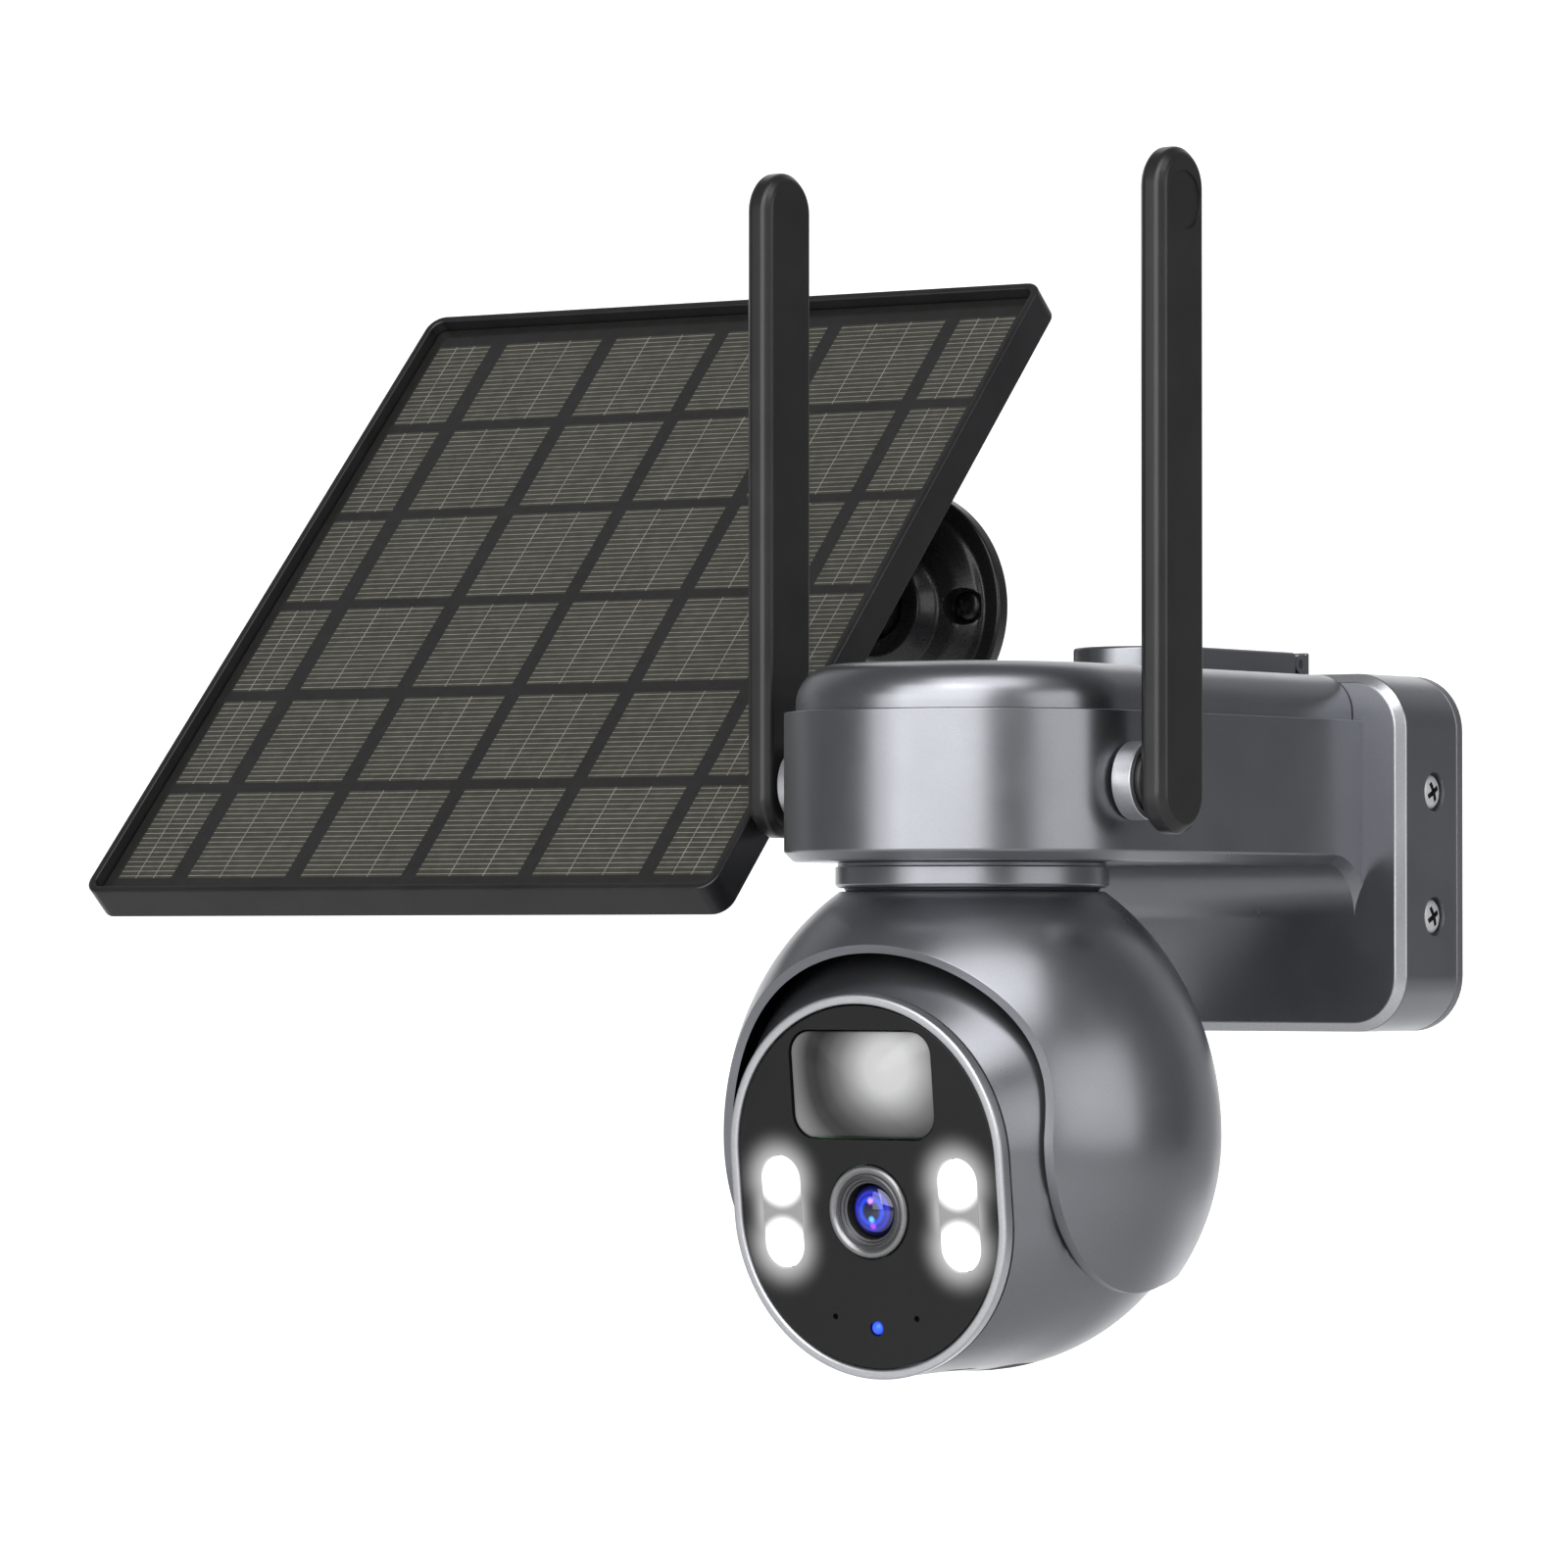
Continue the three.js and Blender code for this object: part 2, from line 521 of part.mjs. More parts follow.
function addHead() {
  const head = new THREE.Group();
  head.position.set(0, PAN_Y, TILT_Z);
  camera.add(head);
  add(head, 'hood_shell', hoodShell(), GUNMETAL);

  const up = z => z - TILT_Z;
  const floor = ARM.bottom + ARM.floor;
  const hub = turned([
    [0, up(floor + 4.6)], [22.5, up(floor + 4.6)], [22.5, up(floor + 0.4)], [18.1, up(floor + 0.4)],
    [18.1, HOOD.top + 0.15], [13.8, HOOD.top + 0.15], [13.8, HOOD.top - 1.4], [11.5, HOOD.top - 1.4],
    [11.5, up(floor + 2.4)], [0, up(floor + 2.4)],
  ], 24);
  const wireHole = angle =>
    moved(rod(3, up(floor), up(floor + 6), 8), 7.5 * Math.cos(angle), 7.5 * Math.sin(angle), 0);
  const shaftHole = rod(2.6, up(floor), up(floor + 6), 16);
  add(head, 'pan_hub', cut(hub, shaftHole, ...[30, 150, 270].map(a => wireHole(a * DEG))), BLACK);

  const pin = (from, to) => rod(AXLE_R, from, to, 20, SIDEWAYS);
  add(head, 'tilt_axle', pin(-46, -35), STEEL);
  add(head, 'tilt_drive_shaft', cut(pin(25, 46), box(20, 34, 1.7, 4, -4, 4)), STEEL);
}

// ---------- camera ball ----------
// Outline of the face, seen from the front, at an inset from its edge.
function facePoint(angle, inset) {
  const a = FACE.a - inset;
  const lift = Math.sin(angle) >= 0 ? FACE.straight : -FACE.straight;
  return [a * Math.cos(angle), FACE.drop + lift + a * Math.sin(angle)];
}

// The ball: a sphere whose front half draws out to the oval face.
function ballBody(inset, front, around, rearSteps, frontSteps) {
  const r = BALL.radius - inset;
  const rings = [];
  const start = Math.asin(BALL.blend / r);
  for (let i = 1; i <= rearSteps; i++) {
    const a = -90 * DEG + (90 * DEG + start) * i / rearSteps;
    const ring = [];
    for (let j = 0; j < around; j++) {
      const t = 360 * DEG * (j + 0.5) / around;
      const radius = r * Math.cos(a);
      ring.push(new THREE.Vector3(radius * Math.cos(t), -r * Math.sin(a), radius * Math.sin(t)));
    }
    rings.push(ring);
  }
  const length = front - BALL.blend;
  const slope = -BALL.blend / (r * Math.cos(start));
  for (let i = 1; i <= frontSteps; i++) {
    const u = i / frontSteps;
    const [h00, h10] = [2 * u ** 3 - 3 * u ** 2 + 1, u ** 3 - 2 * u ** 2 + u];
    const [h01, h11] = [-2 * u ** 3 + 3 * u ** 2, u ** 3 - u ** 2];
    const ring = [];
    for (let j = 0; j < around; j++) {
      const t = 360 * DEG * (j + 0.5) / around;
      const radial = [Math.cos(t), Math.sin(t)];
      const rim = facePoint(t, inset);
      const p = [0, 1].map(k => {
        const from = r * Math.cos(start) * radial[k];
        const fromSlope = slope * radial[k] * length;
        const toSlope = 1.5 * (rim[k] - from) - 0.5 * fromSlope;
        return h00 * from + h10 * fromSlope + h01 * rim[k] + h11 * toSlope;
      });
      ring.push(new THREE.Vector3(p[0], -(BALL.blend + length * u), p[1]));
    }
    rings.push(ring);
  }
  return loft(rings);
}

// The card cover's outline, pushed down through the bottom of the ball.
const coverCutter = (w, h) => pushed(roundedRect(w, h, 4, 0, 0), -60, -30, UPWARD, 0, 1, 2);

function ballShell() {
  // inside the ears the ball keeps to a true sphere, so that it can tilt past them
  const earRelief = cut(rod(HOOD.earR + 0.8, -60, 60, 32, SIDEWAYS),
    new THREE.SphereGeometry(BALL.radius + 0.3, 36, 24));
  const outer = cut(ballBody(0, BALL.front, 36, 9, 5), earRelief);
  const inner = ballBody(BALL.wall, BALL.front + 1, 24, 6, 3);
  let shell = cut(outer, inner, coverCutter(26, 20));
  for (const side of [-1, 1]) {
    const along = (radius, from, to) =>
      rod(radius, Math.min(side * from, side * to), Math.max(side * from, side * to), 18, SIDEWAYS);
    const pad = common(outer, along(13, POLE_FLAT - 2.2, 50));
    const collar = along(6, POLE_FLAT - 7, POLE_FLAT - 1);
    shell = cut(join(shell, pad, collar),
      along(9.5, POLE_FLAT, 50),
      along(AXLE_R + 0.15, POLE_FLAT - 12, 50));
  }
  for (let i = -2; i <= 2; i++) {
    shell = cut(shell, box(i * 4 - 0.8, i * 4 + 0.8, -26, -16, -60, -36));
  }
  return shell;
}

function pirLens() {
  const rings = [];
  const outline = roundedRect(PIR.w, PIR.h, PIR.corner).extractPoints(3).shape;
  const layer = (scale, n) => outline.map(p => new THREE.Vector3(p.x * scale, -n, PIR.z + p.y * scale));
  rings.push(layer(1, 34.6), layer(1, 37.2));
  for (const s of [0.9, 0.72, 0.45, 0.15]) rings.push(layer(s, 37.2 + 2.2 * (1 - s * s)));
  return loft(rings);
}

function addBall() {
  const ball = new THREE.Group();
  ball.position.set(0, PAN_Y, TILT_Z);
  ball.rotation.x = FACE.pitch * DEG;
  camera.add(ball);
  add(ball, 'ball_shell', ballShell(), GUNMETAL);

  const layer = cut(new THREE.SphereGeometry(BALL.radius, 32, 20), new THREE.SphereGeometry(44.4, 24, 14));
  const cover = common(layer, coverCutter(25.4, 19.4));
  add(ball, 'card_cover', cover, RUBBER);

  const faceH = 2 * (FACE.a + FACE.straight);
  const faceShape = inset => stadium(2 * (FACE.a - inset), faceH - 2 * inset, 0, FACE.drop);
  const bezel = cut(pushed(faceShape(0), BALL.front + GAP, FACE.front, FORWARD, 0.5, 1, 10),
    pushed(faceShape(FACE.rim), 20, 50, FORWARD, 0, 1, 10));
  add(ball, 'face_bezel', bezel, SILVER);

  const plate = faceShape(FACE.rim + GAP);
  plate.holes.push(circle(LENS.outer + GAP, 0, LENS.z));
  plate.holes.push(roundedRect(PIR.w + 0.8, PIR.h + 0.8, PIR.corner + 0.4, 0, PIR.z));
  plate.holes.push(circle(1.55, 0, STATUS_Z));
  for (const side of [-1, 1]) {
    plate.holes.push(stadium(LED.windowW + 0.4, LED.windowH + 0.4, side * LED.x, (LED.z[0] + LED.z[1]) / 2));
    plate.holes.push(circle(MIC.radius, side * MIC.x, MIC.z));
  }
  add(ball, 'face_plate', pushed(plate, BALL.front + GAP, 37.4, FORWARD, 0, 1, 7), GLOSS);

  add(ball, 'pir_lens', pirLens(), [0xd8dadc, 0.4, 0.0]);
  add(ball, 'pir_sensor', moved(rod(4.6, 28.9, 33.4, 20, FORWARD), 0, 0, PIR.z), STEEL);

  const barrel = turned([
    [0, 29], [8, 29], [8, 33], [LENS.outer, 33], [LENS.outer, 38],
    [LENS.outer - 1, 38.2], [LENS.outer - 1.7, 37.6], [6.6, 36.8], [5.5, 35.4], [5.5, 31], [0, 31],
  ], 20, FORWARD);
  add(ball, 'lens_barrel', moved(barrel, 0, 0, LENS.z), [0x4a4c50, 0.35, 0.5]);
  const glass = turned([
    [0, 31.3], [LENS.glass, 31.3], [LENS.glass, 33.6], [4.2, 34.5], [2.8, 35.2], [0, 35.7],
  ], 20, FORWARD);
  add(ball, 'lens_glass', moved(glass, 0, 0, LENS.z), [0x1b2266, 0.05, 0.0]);

  const windowZ = (LED.z[0] + LED.z[1]) / 2;
  for (const [side, label] of [[-1, 'left'], [1, 'right']]) {
    const opening = stadium(LED.windowW, LED.windowH, side * LED.x, windowZ);
    const pane = pushed(opening, 35.6, 37.2, FORWARD, 0, 1, 5);
    add(ball, `led_window_${label}`, pane, [0xe8ecf0, 0.1, 0.0]);
    const lampProfile = [[0, 29.5], [LED.radius, 29.5], [LED.radius, 33.6], [3, 34.8], [0, 35.2]];
    const lamp = turned(lampProfile, 14, FORWARD);
    const strip = pushed(stadium(7, 20, side * LED.x, windowZ), 29, 30.2, FORWARD, 0, 1, 4);
    const lamps = LED.z.map(z => moved(lamp, side * LED.x, 0, z));
    add(ball, `led_strip_${label}`, join(strip, ...lamps), [0xffffff, 0.2, 0.0]);
  }
  const dot = turned([[0, 29], [1.3, 29], [1.3, 37], [0.7, 37.6], [0, 37.7]], 14, FORWARD);
  add(ball, 'status_led', moved(dot, 0, 0, STATUS_Z), [0x1c39d0, 0.2, 0.0]);

  const board = stadium(50, 62, 0, FACE.drop);
  const sensor = join(pushed(board, 27, 28.7, FORWARD, 0, 1, 5), box(-10, 10, -27.5, -20, -16, 4));
  add(ball, 'sensor_board', sensor, GREEN);
  const motor = join(rod(12, 14, 30, 26, SIDEWAYS), box(12.4, 14.5, -16, 16, -4, 4));
  add(ball, 'tilt_motor', cut(motor, rod(AXLE_R + 0.2, 24, 40, 16, SIDEWAYS)), STEEL);
  add(ball, 'speaker', turned([[0, -40], [8, -40], [10, -37], [10, -33], [5, -30], [0, -30]], 24)
    .rotateX(-28 * DEG), BLACK);
}

// ---------- solar panel ----------
function solarArmPath() {
  const pivot = pivotPoint();
  return new THREE.CubicBezierCurve3(
    new THREE.Vector3(BASE.x, -BASE.dome + 3, BASE.z),
    new THREE.Vector3(BASE.x, -BASE.dome - 22, BASE.z),
    new THREE.Vector3(pivot.x, pivot.y + 26, pivot.z),
    new THREE.Vector3(pivot.x, pivot.y + 4, pivot.z));
}

const leanOut = () => new THREE.Vector3(0, -Math.cos(PANEL.lean * DEG), Math.sin(PANEL.lean * DEG));

function pivotPoint() {
  return new THREE.Vector3(PANEL.x, PANEL.y, PANEL.z).addScaledVector(leanOut(), -BRACKET.pivot);
}

function addSolarBase() {
  const profile = [
    [0, 0], [BASE.radius, 0], [BASE.radius, BASE.rim - 1], [BASE.radius - 1, BASE.rim],
    [BASE.radius - 3.5, BASE.rim], [BASE.radius - 4.5, BASE.rim + 1.2], [16, 8.2], [12, BASE.dome - 1.5],
    [11, BASE.dome], [6.6, BASE.dome], [6.6, 6], [0, 6],
  ];
  let base = moved(turned(profile, 28, FORWARD), BASE.x, 0, BASE.z);
  const screw = toGeometry(phillipsScrew(3.2, 1.6, 1.6, 4.2)).rotateX(90 * DEG);
  const angles = [0, 120, 240];
  angles.forEach((degrees, i) => {
    const x = BASE.x + BASE.screwR * Math.cos(degrees * DEG);
    const z = BASE.z + BASE.screwR * Math.sin(degrees * DEG);
    base = cut(base,
      moved(rod(4, 4.6, 20, 12, FORWARD), x, 0, z),
      moved(rod(1.9, -1, 10, 8, FORWARD), x, 0, z));
    const mesh = add(camera, `solar_base_screw_${i + 1}`, screw, STEEL);
    mesh.position.set(x, -4.7, z);
  });
  add(camera, 'solar_base', base, BLACK);

  const pivot = pivotPoint();
  const section = circle(6.2);
  const stem = new THREE.ExtrudeGeometry(section,
    { steps: 14, curveSegments: 6, extrudePath: solarArmPath() });
  const lug = rod(BRACKET.lugR, -BRACKET.lugW / 2, BRACKET.lugW / 2, 28, SIDEWAYS);
  const arm = cut(join(stem, moved(lug, pivot.x, pivot.y, pivot.z)),
    moved(rod(2.7, -10, 10, 16, SIDEWAYS), pivot.x, pivot.y, pivot.z),
    ...[-1, 1].map(side => {
      const from = BRACKET.lugW / 2;
      const [x0, x1] = side > 0 ? [from, from + 9] : [-from - 9, -from];
      return moved(rod(BRACKET.lugR + 1, x0, x1, 28, SIDEWAYS), pivot.x, pivot.y, pivot.z);
    }));
  add(camera, 'solar_arm', arm, BLACK);

  const boltProfile = [[0, -15.5], [4, -15.5], [4, -12.2], [2.5, -12.2], [2.5, 12.6], [0, 12.6]];
  const bolt = turned(boltProfile, 16, SIDEWAYS);
  add(camera, 'pivot_bolt', moved(bolt, pivot.x, pivot.y, pivot.z), STEEL);
  const lobes = [0, 72, 144, 216, 288].map(a =>
    moved(rod(2.6, 0, 7, 8), 6.4 * Math.cos(a * DEG), 6.4 * Math.sin(a * DEG), 0));
  const knob = cut(join(rod(7, 0, 7, 16), ...lobes), rod(2.7, -1, 5, 12));
  const knobMesh = add(camera, 'pivot_knob', toGeometry(knob).applyMatrix4(SIDEWAYS), BLACK);
  knobMesh.position.set(pivot.x + 8.2, pivot.y, pivot.z);
}

function addPanel() {
  const panel = new THREE.Group();
  panel.position.set(PANEL.x, PANEL.y, PANEL.z);
  panel.rotation.x = -PANEL.lean * DEG;
  camera.add(panel);

  const shape = inset =>
    roundedRect(PANEL.w - 2 * inset, PANEL.h - 2 * inset, Math.max(PANEL.corner - inset, 0.8));
  // the laminate lies on a ledge inside the frame, and the back plate fills the ledge's opening
  const frame = cut(pushed(shape(0), -PANEL.thick, 0, FORWARD, 0.6, 1, 2),
    pushed(shape(PANEL.wall), -5.4, 5, FORWARD, 0, 1, 2),
    pushed(shape(PANEL.ledge), -PANEL.thick - 5, -5, FORWARD, 0, 1, 2));
  add(panel, 'panel_frame', frame, BLACK);
  const laminate = pushed(shape(PANEL.wall + GAP), -5.2, -2.6, FORWARD, 0, 1, 2);
  add(panel, 'solar_laminate', laminate, [0x17181a, 0.15, 0.0]);
  const backPlate = pushed(shape(PANEL.ledge + GAP), -PANEL.thick + 0.2, -5.4, FORWARD, 0, 1, 2);
  add(panel, 'panel_back', backPlate, BLACK);

  const back = -PANEL.thick - 0.1;
  const plate = pushed(roundedRect(BRACKET.plateW, BRACKET.plateH, 5), back - 3, back, FORWARD, 0.6, 1, 2);
  const side = new THREE.Shape();
  side.moveTo(-back + 1, -14);
  side.lineTo(-back + 1, 14);
  side.lineTo(BRACKET.pivot, BRACKET.lugR);
  side.absarc(BRACKET.pivot, 0, BRACKET.lugR, 90 * DEG, -90 * DEG, true);
  side.closePath();
  const inner = BRACKET.lugW / 2 + GAP;
  const ears = [[inner, inner + BRACKET.earW], [-inner - BRACKET.earW, -inner]]
    .map(([x0, x1]) => pushed(side, x0, x1, SIDEWAYS, 0, 1, 5));
  const bracket = cut(join(plate, ...ears), moved(rod(2.7, -20, 20, 16, SIDEWAYS), 0, BRACKET.pivot, 0));
  add(panel, 'panel_bracket', bracket, BLACK);

  const junction = pushed(roundedRect(34, 24, 3, 0, -46), back - 9, back, FORWARD, 0.8, 1, 2);
  add(panel, 'junction_box', junction, BLACK);
  const gland = turned([
    [0, -58.3], [4.2, -58.3], [4.2, -62], [3.2, -63], [2.9, -69], [1.8, -69], [1.8, -60], [0, -60],
  ], 20);
  add(panel, 'cable_gland', moved(gland, 0, -back + 4.8, 0), RUBBER);
}

addWallSide();
addHatch();
addInsides();
addAntenna(-1, 'left');
addAntenna(1, 'right');
addHead();
addBall();
addSolarBase();
addPanel();

export default camera;
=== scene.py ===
"""Visual model of a solar-powered pan and tilt security camera, with its studio.

Shapes are built in millimetres in the row frame (+Z up, the wall is the plane Y = 0) and
scaled to metres as each piece is finished.
"""
import json
import math
import bmesh
import bpy
from mathutils import Matrix, Vector


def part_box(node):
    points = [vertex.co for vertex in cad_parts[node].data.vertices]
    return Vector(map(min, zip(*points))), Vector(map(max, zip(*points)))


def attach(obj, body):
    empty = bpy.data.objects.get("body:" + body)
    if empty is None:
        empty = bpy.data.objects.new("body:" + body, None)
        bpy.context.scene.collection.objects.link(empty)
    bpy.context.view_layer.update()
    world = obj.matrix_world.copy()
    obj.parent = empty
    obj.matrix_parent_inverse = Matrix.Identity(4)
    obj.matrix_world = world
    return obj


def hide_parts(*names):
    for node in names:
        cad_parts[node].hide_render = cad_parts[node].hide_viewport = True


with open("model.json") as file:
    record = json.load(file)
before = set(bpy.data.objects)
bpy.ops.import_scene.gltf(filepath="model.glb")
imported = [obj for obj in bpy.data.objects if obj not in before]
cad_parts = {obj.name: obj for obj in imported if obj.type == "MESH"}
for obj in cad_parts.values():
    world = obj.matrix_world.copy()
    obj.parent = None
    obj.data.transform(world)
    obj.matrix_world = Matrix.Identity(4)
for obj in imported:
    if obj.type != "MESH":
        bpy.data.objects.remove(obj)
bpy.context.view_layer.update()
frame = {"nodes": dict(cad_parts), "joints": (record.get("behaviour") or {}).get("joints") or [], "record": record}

MM = 0.001
RECORD = frame["record"]
BODY_OF = {node: body for body, nodes in RECORD["behaviour"]["bodies"].items() for node in nodes}
SLOT_OF = {part["node"]: part["material_slot"] for part in RECORD["subparts"]}
JOINT = {joint["name"]: joint for joint in frame["joints"]}


def span(node):
    """Lowest and highest corner of a CAD node, in millimetres."""
    low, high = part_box(node)
    return low / MM, high / MM


def pivot(joint):
    return Vector(JOINT[joint]["pos_m"]) / MM


# ---------- dimensions read from the frame ----------
TILT = pivot("head_tilt")
PAN_Y = TILT.y
PANEL_PIVOT = pivot("panel_tilt")
ANTENNA_Z = pivot("right_antenna_swivel").z
HATCH_PIN = pivot("hatch_hinge")
BOX_LOW, BOX_HIGH = span("arm_housing")
COVER_TOP = span("top_cover")[1].z
SEAM = span("top_cover")[0].z - 0.1
ARM_BOTTOM = span("neck_ring")[1].z + 0.1
ARM_HALF = PAN_Y - BOX_LOW.y
BOX_HALF = (BOX_HIGH.x, BOX_HIGH.z)
BOX_FRONT = span("top_cover")[1].y + 0.3
HOOD_TOP = span("hood_shell")[1].z - TILT.z

# ---------- dimensions that no box gives ----------
BOX_CORNER, BOX_CHAMFER, BOX_WALL = 11.5, 1.8, 4
ARM_WALL, ARM_FLOOR, ARM_CHAMFER, ARM_FILLET = 3.5, 3, 1.9, 11
COVER_HALF, COVER_ROUND, COVER_WALL = 34.8, 8, 2.2
SIDE_SCREW_Y, SIDE_SCREW_ROWS = -11.6, (12.4, -13.0)
INLET_X, INLET_Y = -25, -13.5
HOOD_R, HOOD_H, HOOD_WALL, HOOD_TOP_WALL, EAR_R = 49, 56.5, 1.6, 2.2, 30.2
NECK_HOLE_R = 14.2
BALL_R, BALL_WALL, BALL_BLEND, BALL_FRONT = 46.4, 2.2, 8, 34.8
PITCH, FACE_A, FACE_STRAIGHT, FACE_DROP, FACE_RIM, FACE_FRONT = 6.5, 31.75, 5.75, -5.3, 1.85, 37.9
LENS_Z, LENS_R, GLASS_R = FACE_DROP - 4.75, 9.05, 5.1
PIR_Z, PIR_W, PIR_H, PIR_CORNER = FACE_DROP + 19.9, 32.4, 20.6, 4.5
LED_X, LED_Z, LED_R = 20.6, (FACE_DROP + 1.2, FACE_DROP - 11.5), 4.2
STATUS_Z = FACE_DROP - 27.5
MIC_X, MIC_Z, MIC_R = 9.5, FACE_DROP - 25.4, 0.6
PANEL_W, PANEL_H, PANEL_THICK, PANEL_LEAN, PANEL_BACK = 163, 177, 8, 43.1, 22
PANEL_WALL, PANEL_LEDGE, PANEL_GLASS, PANEL_BED = 1.8, 4.5, -2.6, -5.4

# The printed cells: distance of the first one from the panel's edge, then widths and gaps.
COLUMN_START, COLUMN_WIDTHS = 4.9, (14.3, 26.1, 26.4, 26.1, 26.7, 14.2)
COLUMN_GAPS = (4.4, 4.1, 3.75, 3.75, 3.75)
ROW_START, ROW_HEIGHTS = 7.7, (24.9, 25.1, 25.1, 24.6, 24.6, 24.9)
ROW_GAPS = (2.8, 2.6, 2.6, 3.1, 2.8)

SOLAR_BASE = Vector(((span("solar_base")[0].x + span("solar_base")[1].x) / 2, 0,
                     (span("solar_base")[0].z + span("solar_base")[1].z) / 2))

UPWARD = Matrix.Identity(4)
FORWARD = Matrix(((1, 0, 0, 0), (0, 0, -1, 0), (0, 1, 0, 0), (0, 0, 0, 1)))
SIDEWAYS = Matrix(((0, 0, 1, 0), (1, 0, 0, 0), (0, 1, 0, 0), (0, 0, 0, 1)))
HEAD = Matrix.Translation(TILT)
BALL = HEAD @ Matrix.Rotation(math.radians(PITCH), 4, "X")
PANEL_OUT = Vector((0, -math.cos(math.radians(PANEL_LEAN)), math.sin(math.radians(PANEL_LEAN))))
PANEL = Matrix.Translation(PANEL_PIVOT + PANEL_BACK * PANEL_OUT) @ Matrix.Rotation(
    math.radians(-PANEL_LEAN), 4, "X")


def at(x, y, z):
    return Matrix.Translation((x, y, z))


# ---------- flat outlines: each is a function of an inset ----------
def arc(cx, cy, r, start, end, n):
    turns = [math.radians(start + (end - start) * k / n) for k in range(n + 1)]
    return [(cx + r * math.cos(t), cy + r * math.sin(t)) for t in turns]


def quarter(n):
    """Angles from 0 towards 90 degrees in n steps, without the last."""
    return [math.pi / 2 * k / n for k in range(n)]


def full_turn(n):
    return [2 * math.pi * k / n for k in range(n)]


def domed(r, base, rise, steps):
    """Profile points of a dome, from its rim almost to its top."""
    return [(r * math.cos(t), base + rise * math.sin(t)) for t in quarter(steps)]


def stripes(start, widths, gaps):
    """Both edges of each stripe in a row of stripes."""
    edges = []
    for width, gap in zip(widths, gaps + (0,)):
        edges.append((start, start + width))
        start += width + gap
    return edges


def circle(r, cx=0, cy=0, n=64):
    return lambda inset=0: arc(cx, cy, r - inset, 0, 360, n)[:-1]


def stadium(w, h, cx=0, cy=0, n=40):
    r, run = min(w, h) / 2, abs(w - h) / 2
    dx, dy, start = (0, run, 0) if h > w else (run, 0, -90)
    return lambda inset=0: (arc(cx + dx, cy + dy, r - inset, start, start + 180, n)
                            + arc(cx - dx, cy - dy, r - inset, start + 180, start + 360, n))


def rounded_rect(w, h, r, cx=0, cy=0, n=10):
    def outline(inset=0):
        q = max(r - inset, 0.1)
        x, y = w / 2 - inset - q, h / 2 - inset - q
        corners = ((1, 1), (-1, 1), (-1, -1), (1, -1))
        return [p for k, (sx, sy) in enumerate(corners)
                for p in arc(cx + sx * x, cy + sy * y, q, 90 * k, 90 * k + 90, n)]
    return outline


def soften(points, r, steps=4, loop=False):
    """Round the corners of a flat polyline."""
    out = []
    for i, p in enumerate(points):
        if not loop and i in (0, len(points) - 1):
            out.append(tuple(p))
            continue
        here = Vector(p)
        to_a, to_b = Vector(points[i - 1]) - here, Vector(points[(i + 1) % len(points)]) - here
        reach = min(r, to_a.length * 0.45, to_b.length * 0.45)
        a, b = here + to_a.normalized() * reach, here + to_b.normalized() * reach
        for k in range(steps + 1):
            t = k / steps
            out.append(tuple(a * (1 - t) ** 2 + here * (2 * t * (1 - t)) + b * t * t))
    return out


# ---------- solids ----------
def solid(bm):
    """An object from a BMesh, with a place for each of its materials."""
    mesh = bpy.data.meshes.new("part")
    bm.to_mesh(mesh)
    bm.free()
    for _ in range(3):
        mesh.materials.append(None)
    obj = bpy.data.objects.new("part", mesh)
    bpy.context.scene.collection.objects.link(obj)
    return obj


def skin(rings, wrap=False, basis=UPWARD, caps=True):
    """An object whose faces join rings of points; a ring of one point is a pole."""
    bm = bmesh.new()
    rows = [[bm.verts.new(basis @ Vector(p)) for p in ring] for ring in rings]
    pairs = list(zip(rows, rows[1:])) + ([(rows[-1], rows[0])] if wrap else [])
    for a, b in pairs:
        n = max(len(a), len(b))
        for j in range(n):
            i = (j + 1) % n
            corners = (a[j % len(a)], a[i % len(a)], b[i % len(b)], b[j % len(b)])
            face = list(dict.fromkeys(corners))
            if len(face) > 2:
                bm.faces.new(face)
    if caps and not wrap:
        for row in (rows[0], rows[-1]):
            if len(row) > 2:
                bm.faces.new(row)
    bmesh.ops.recalc_face_normals(bm, faces=bm.faces)
    return solid(bm)


def pressed(outline, rows, wrap=False, basis=UPWARD):
    """A solid from one outline at rows of (inset, height)."""
    return skin([[(x, y, h) for x, y in outline(inset)] for inset, h in rows], wrap, basis)


def slab(outline, bottom, top, low=0.0, high=0.0, basis=UPWARD, steps=4):
    bends = [math.pi / 2 * k / steps for k in range(steps + 1)]
    rows = [(0, bottom)]
    if low:
        rows = [(low * (1 - math.sin(t)), bottom + low * (1 - math.cos(t))) for t in bends]
    if high:
        rows += [(high * (1 - math.cos(t)), top - high * (1 - math.sin(t))) for t in bends]
    else:
        rows.append((0, top))
    return pressed(outline, rows, False, basis)


def turned(profile, basis=UPWARD, n=64):
    """A solid from (radius, height) pairs turned about the basis's own Z."""
    loop = profile[0] == profile[-1]
    rings = []
    for r, h in profile[:-1] if loop else profile:
        rings.append([(0, 0, h)] if r < 1e-6 else [(x, y, h) for x, y in arc(0, 0, r, 0, 360, n)[:-1]])
    return skin(rings, loop, basis)


def block(x0, x1, y0, y1, z0, z1):
    ring = [(x0, y0), (x1, y0), (x1, y1), (x0, y1)]
    return skin([[(x, y, z) for x, y in ring] for z in (z0, z1)])


def rod(r, start, end, basis=UPWARD, n=48):
    return turned([(0, start), (r, start), (r, end), (0, end)], basis, n)


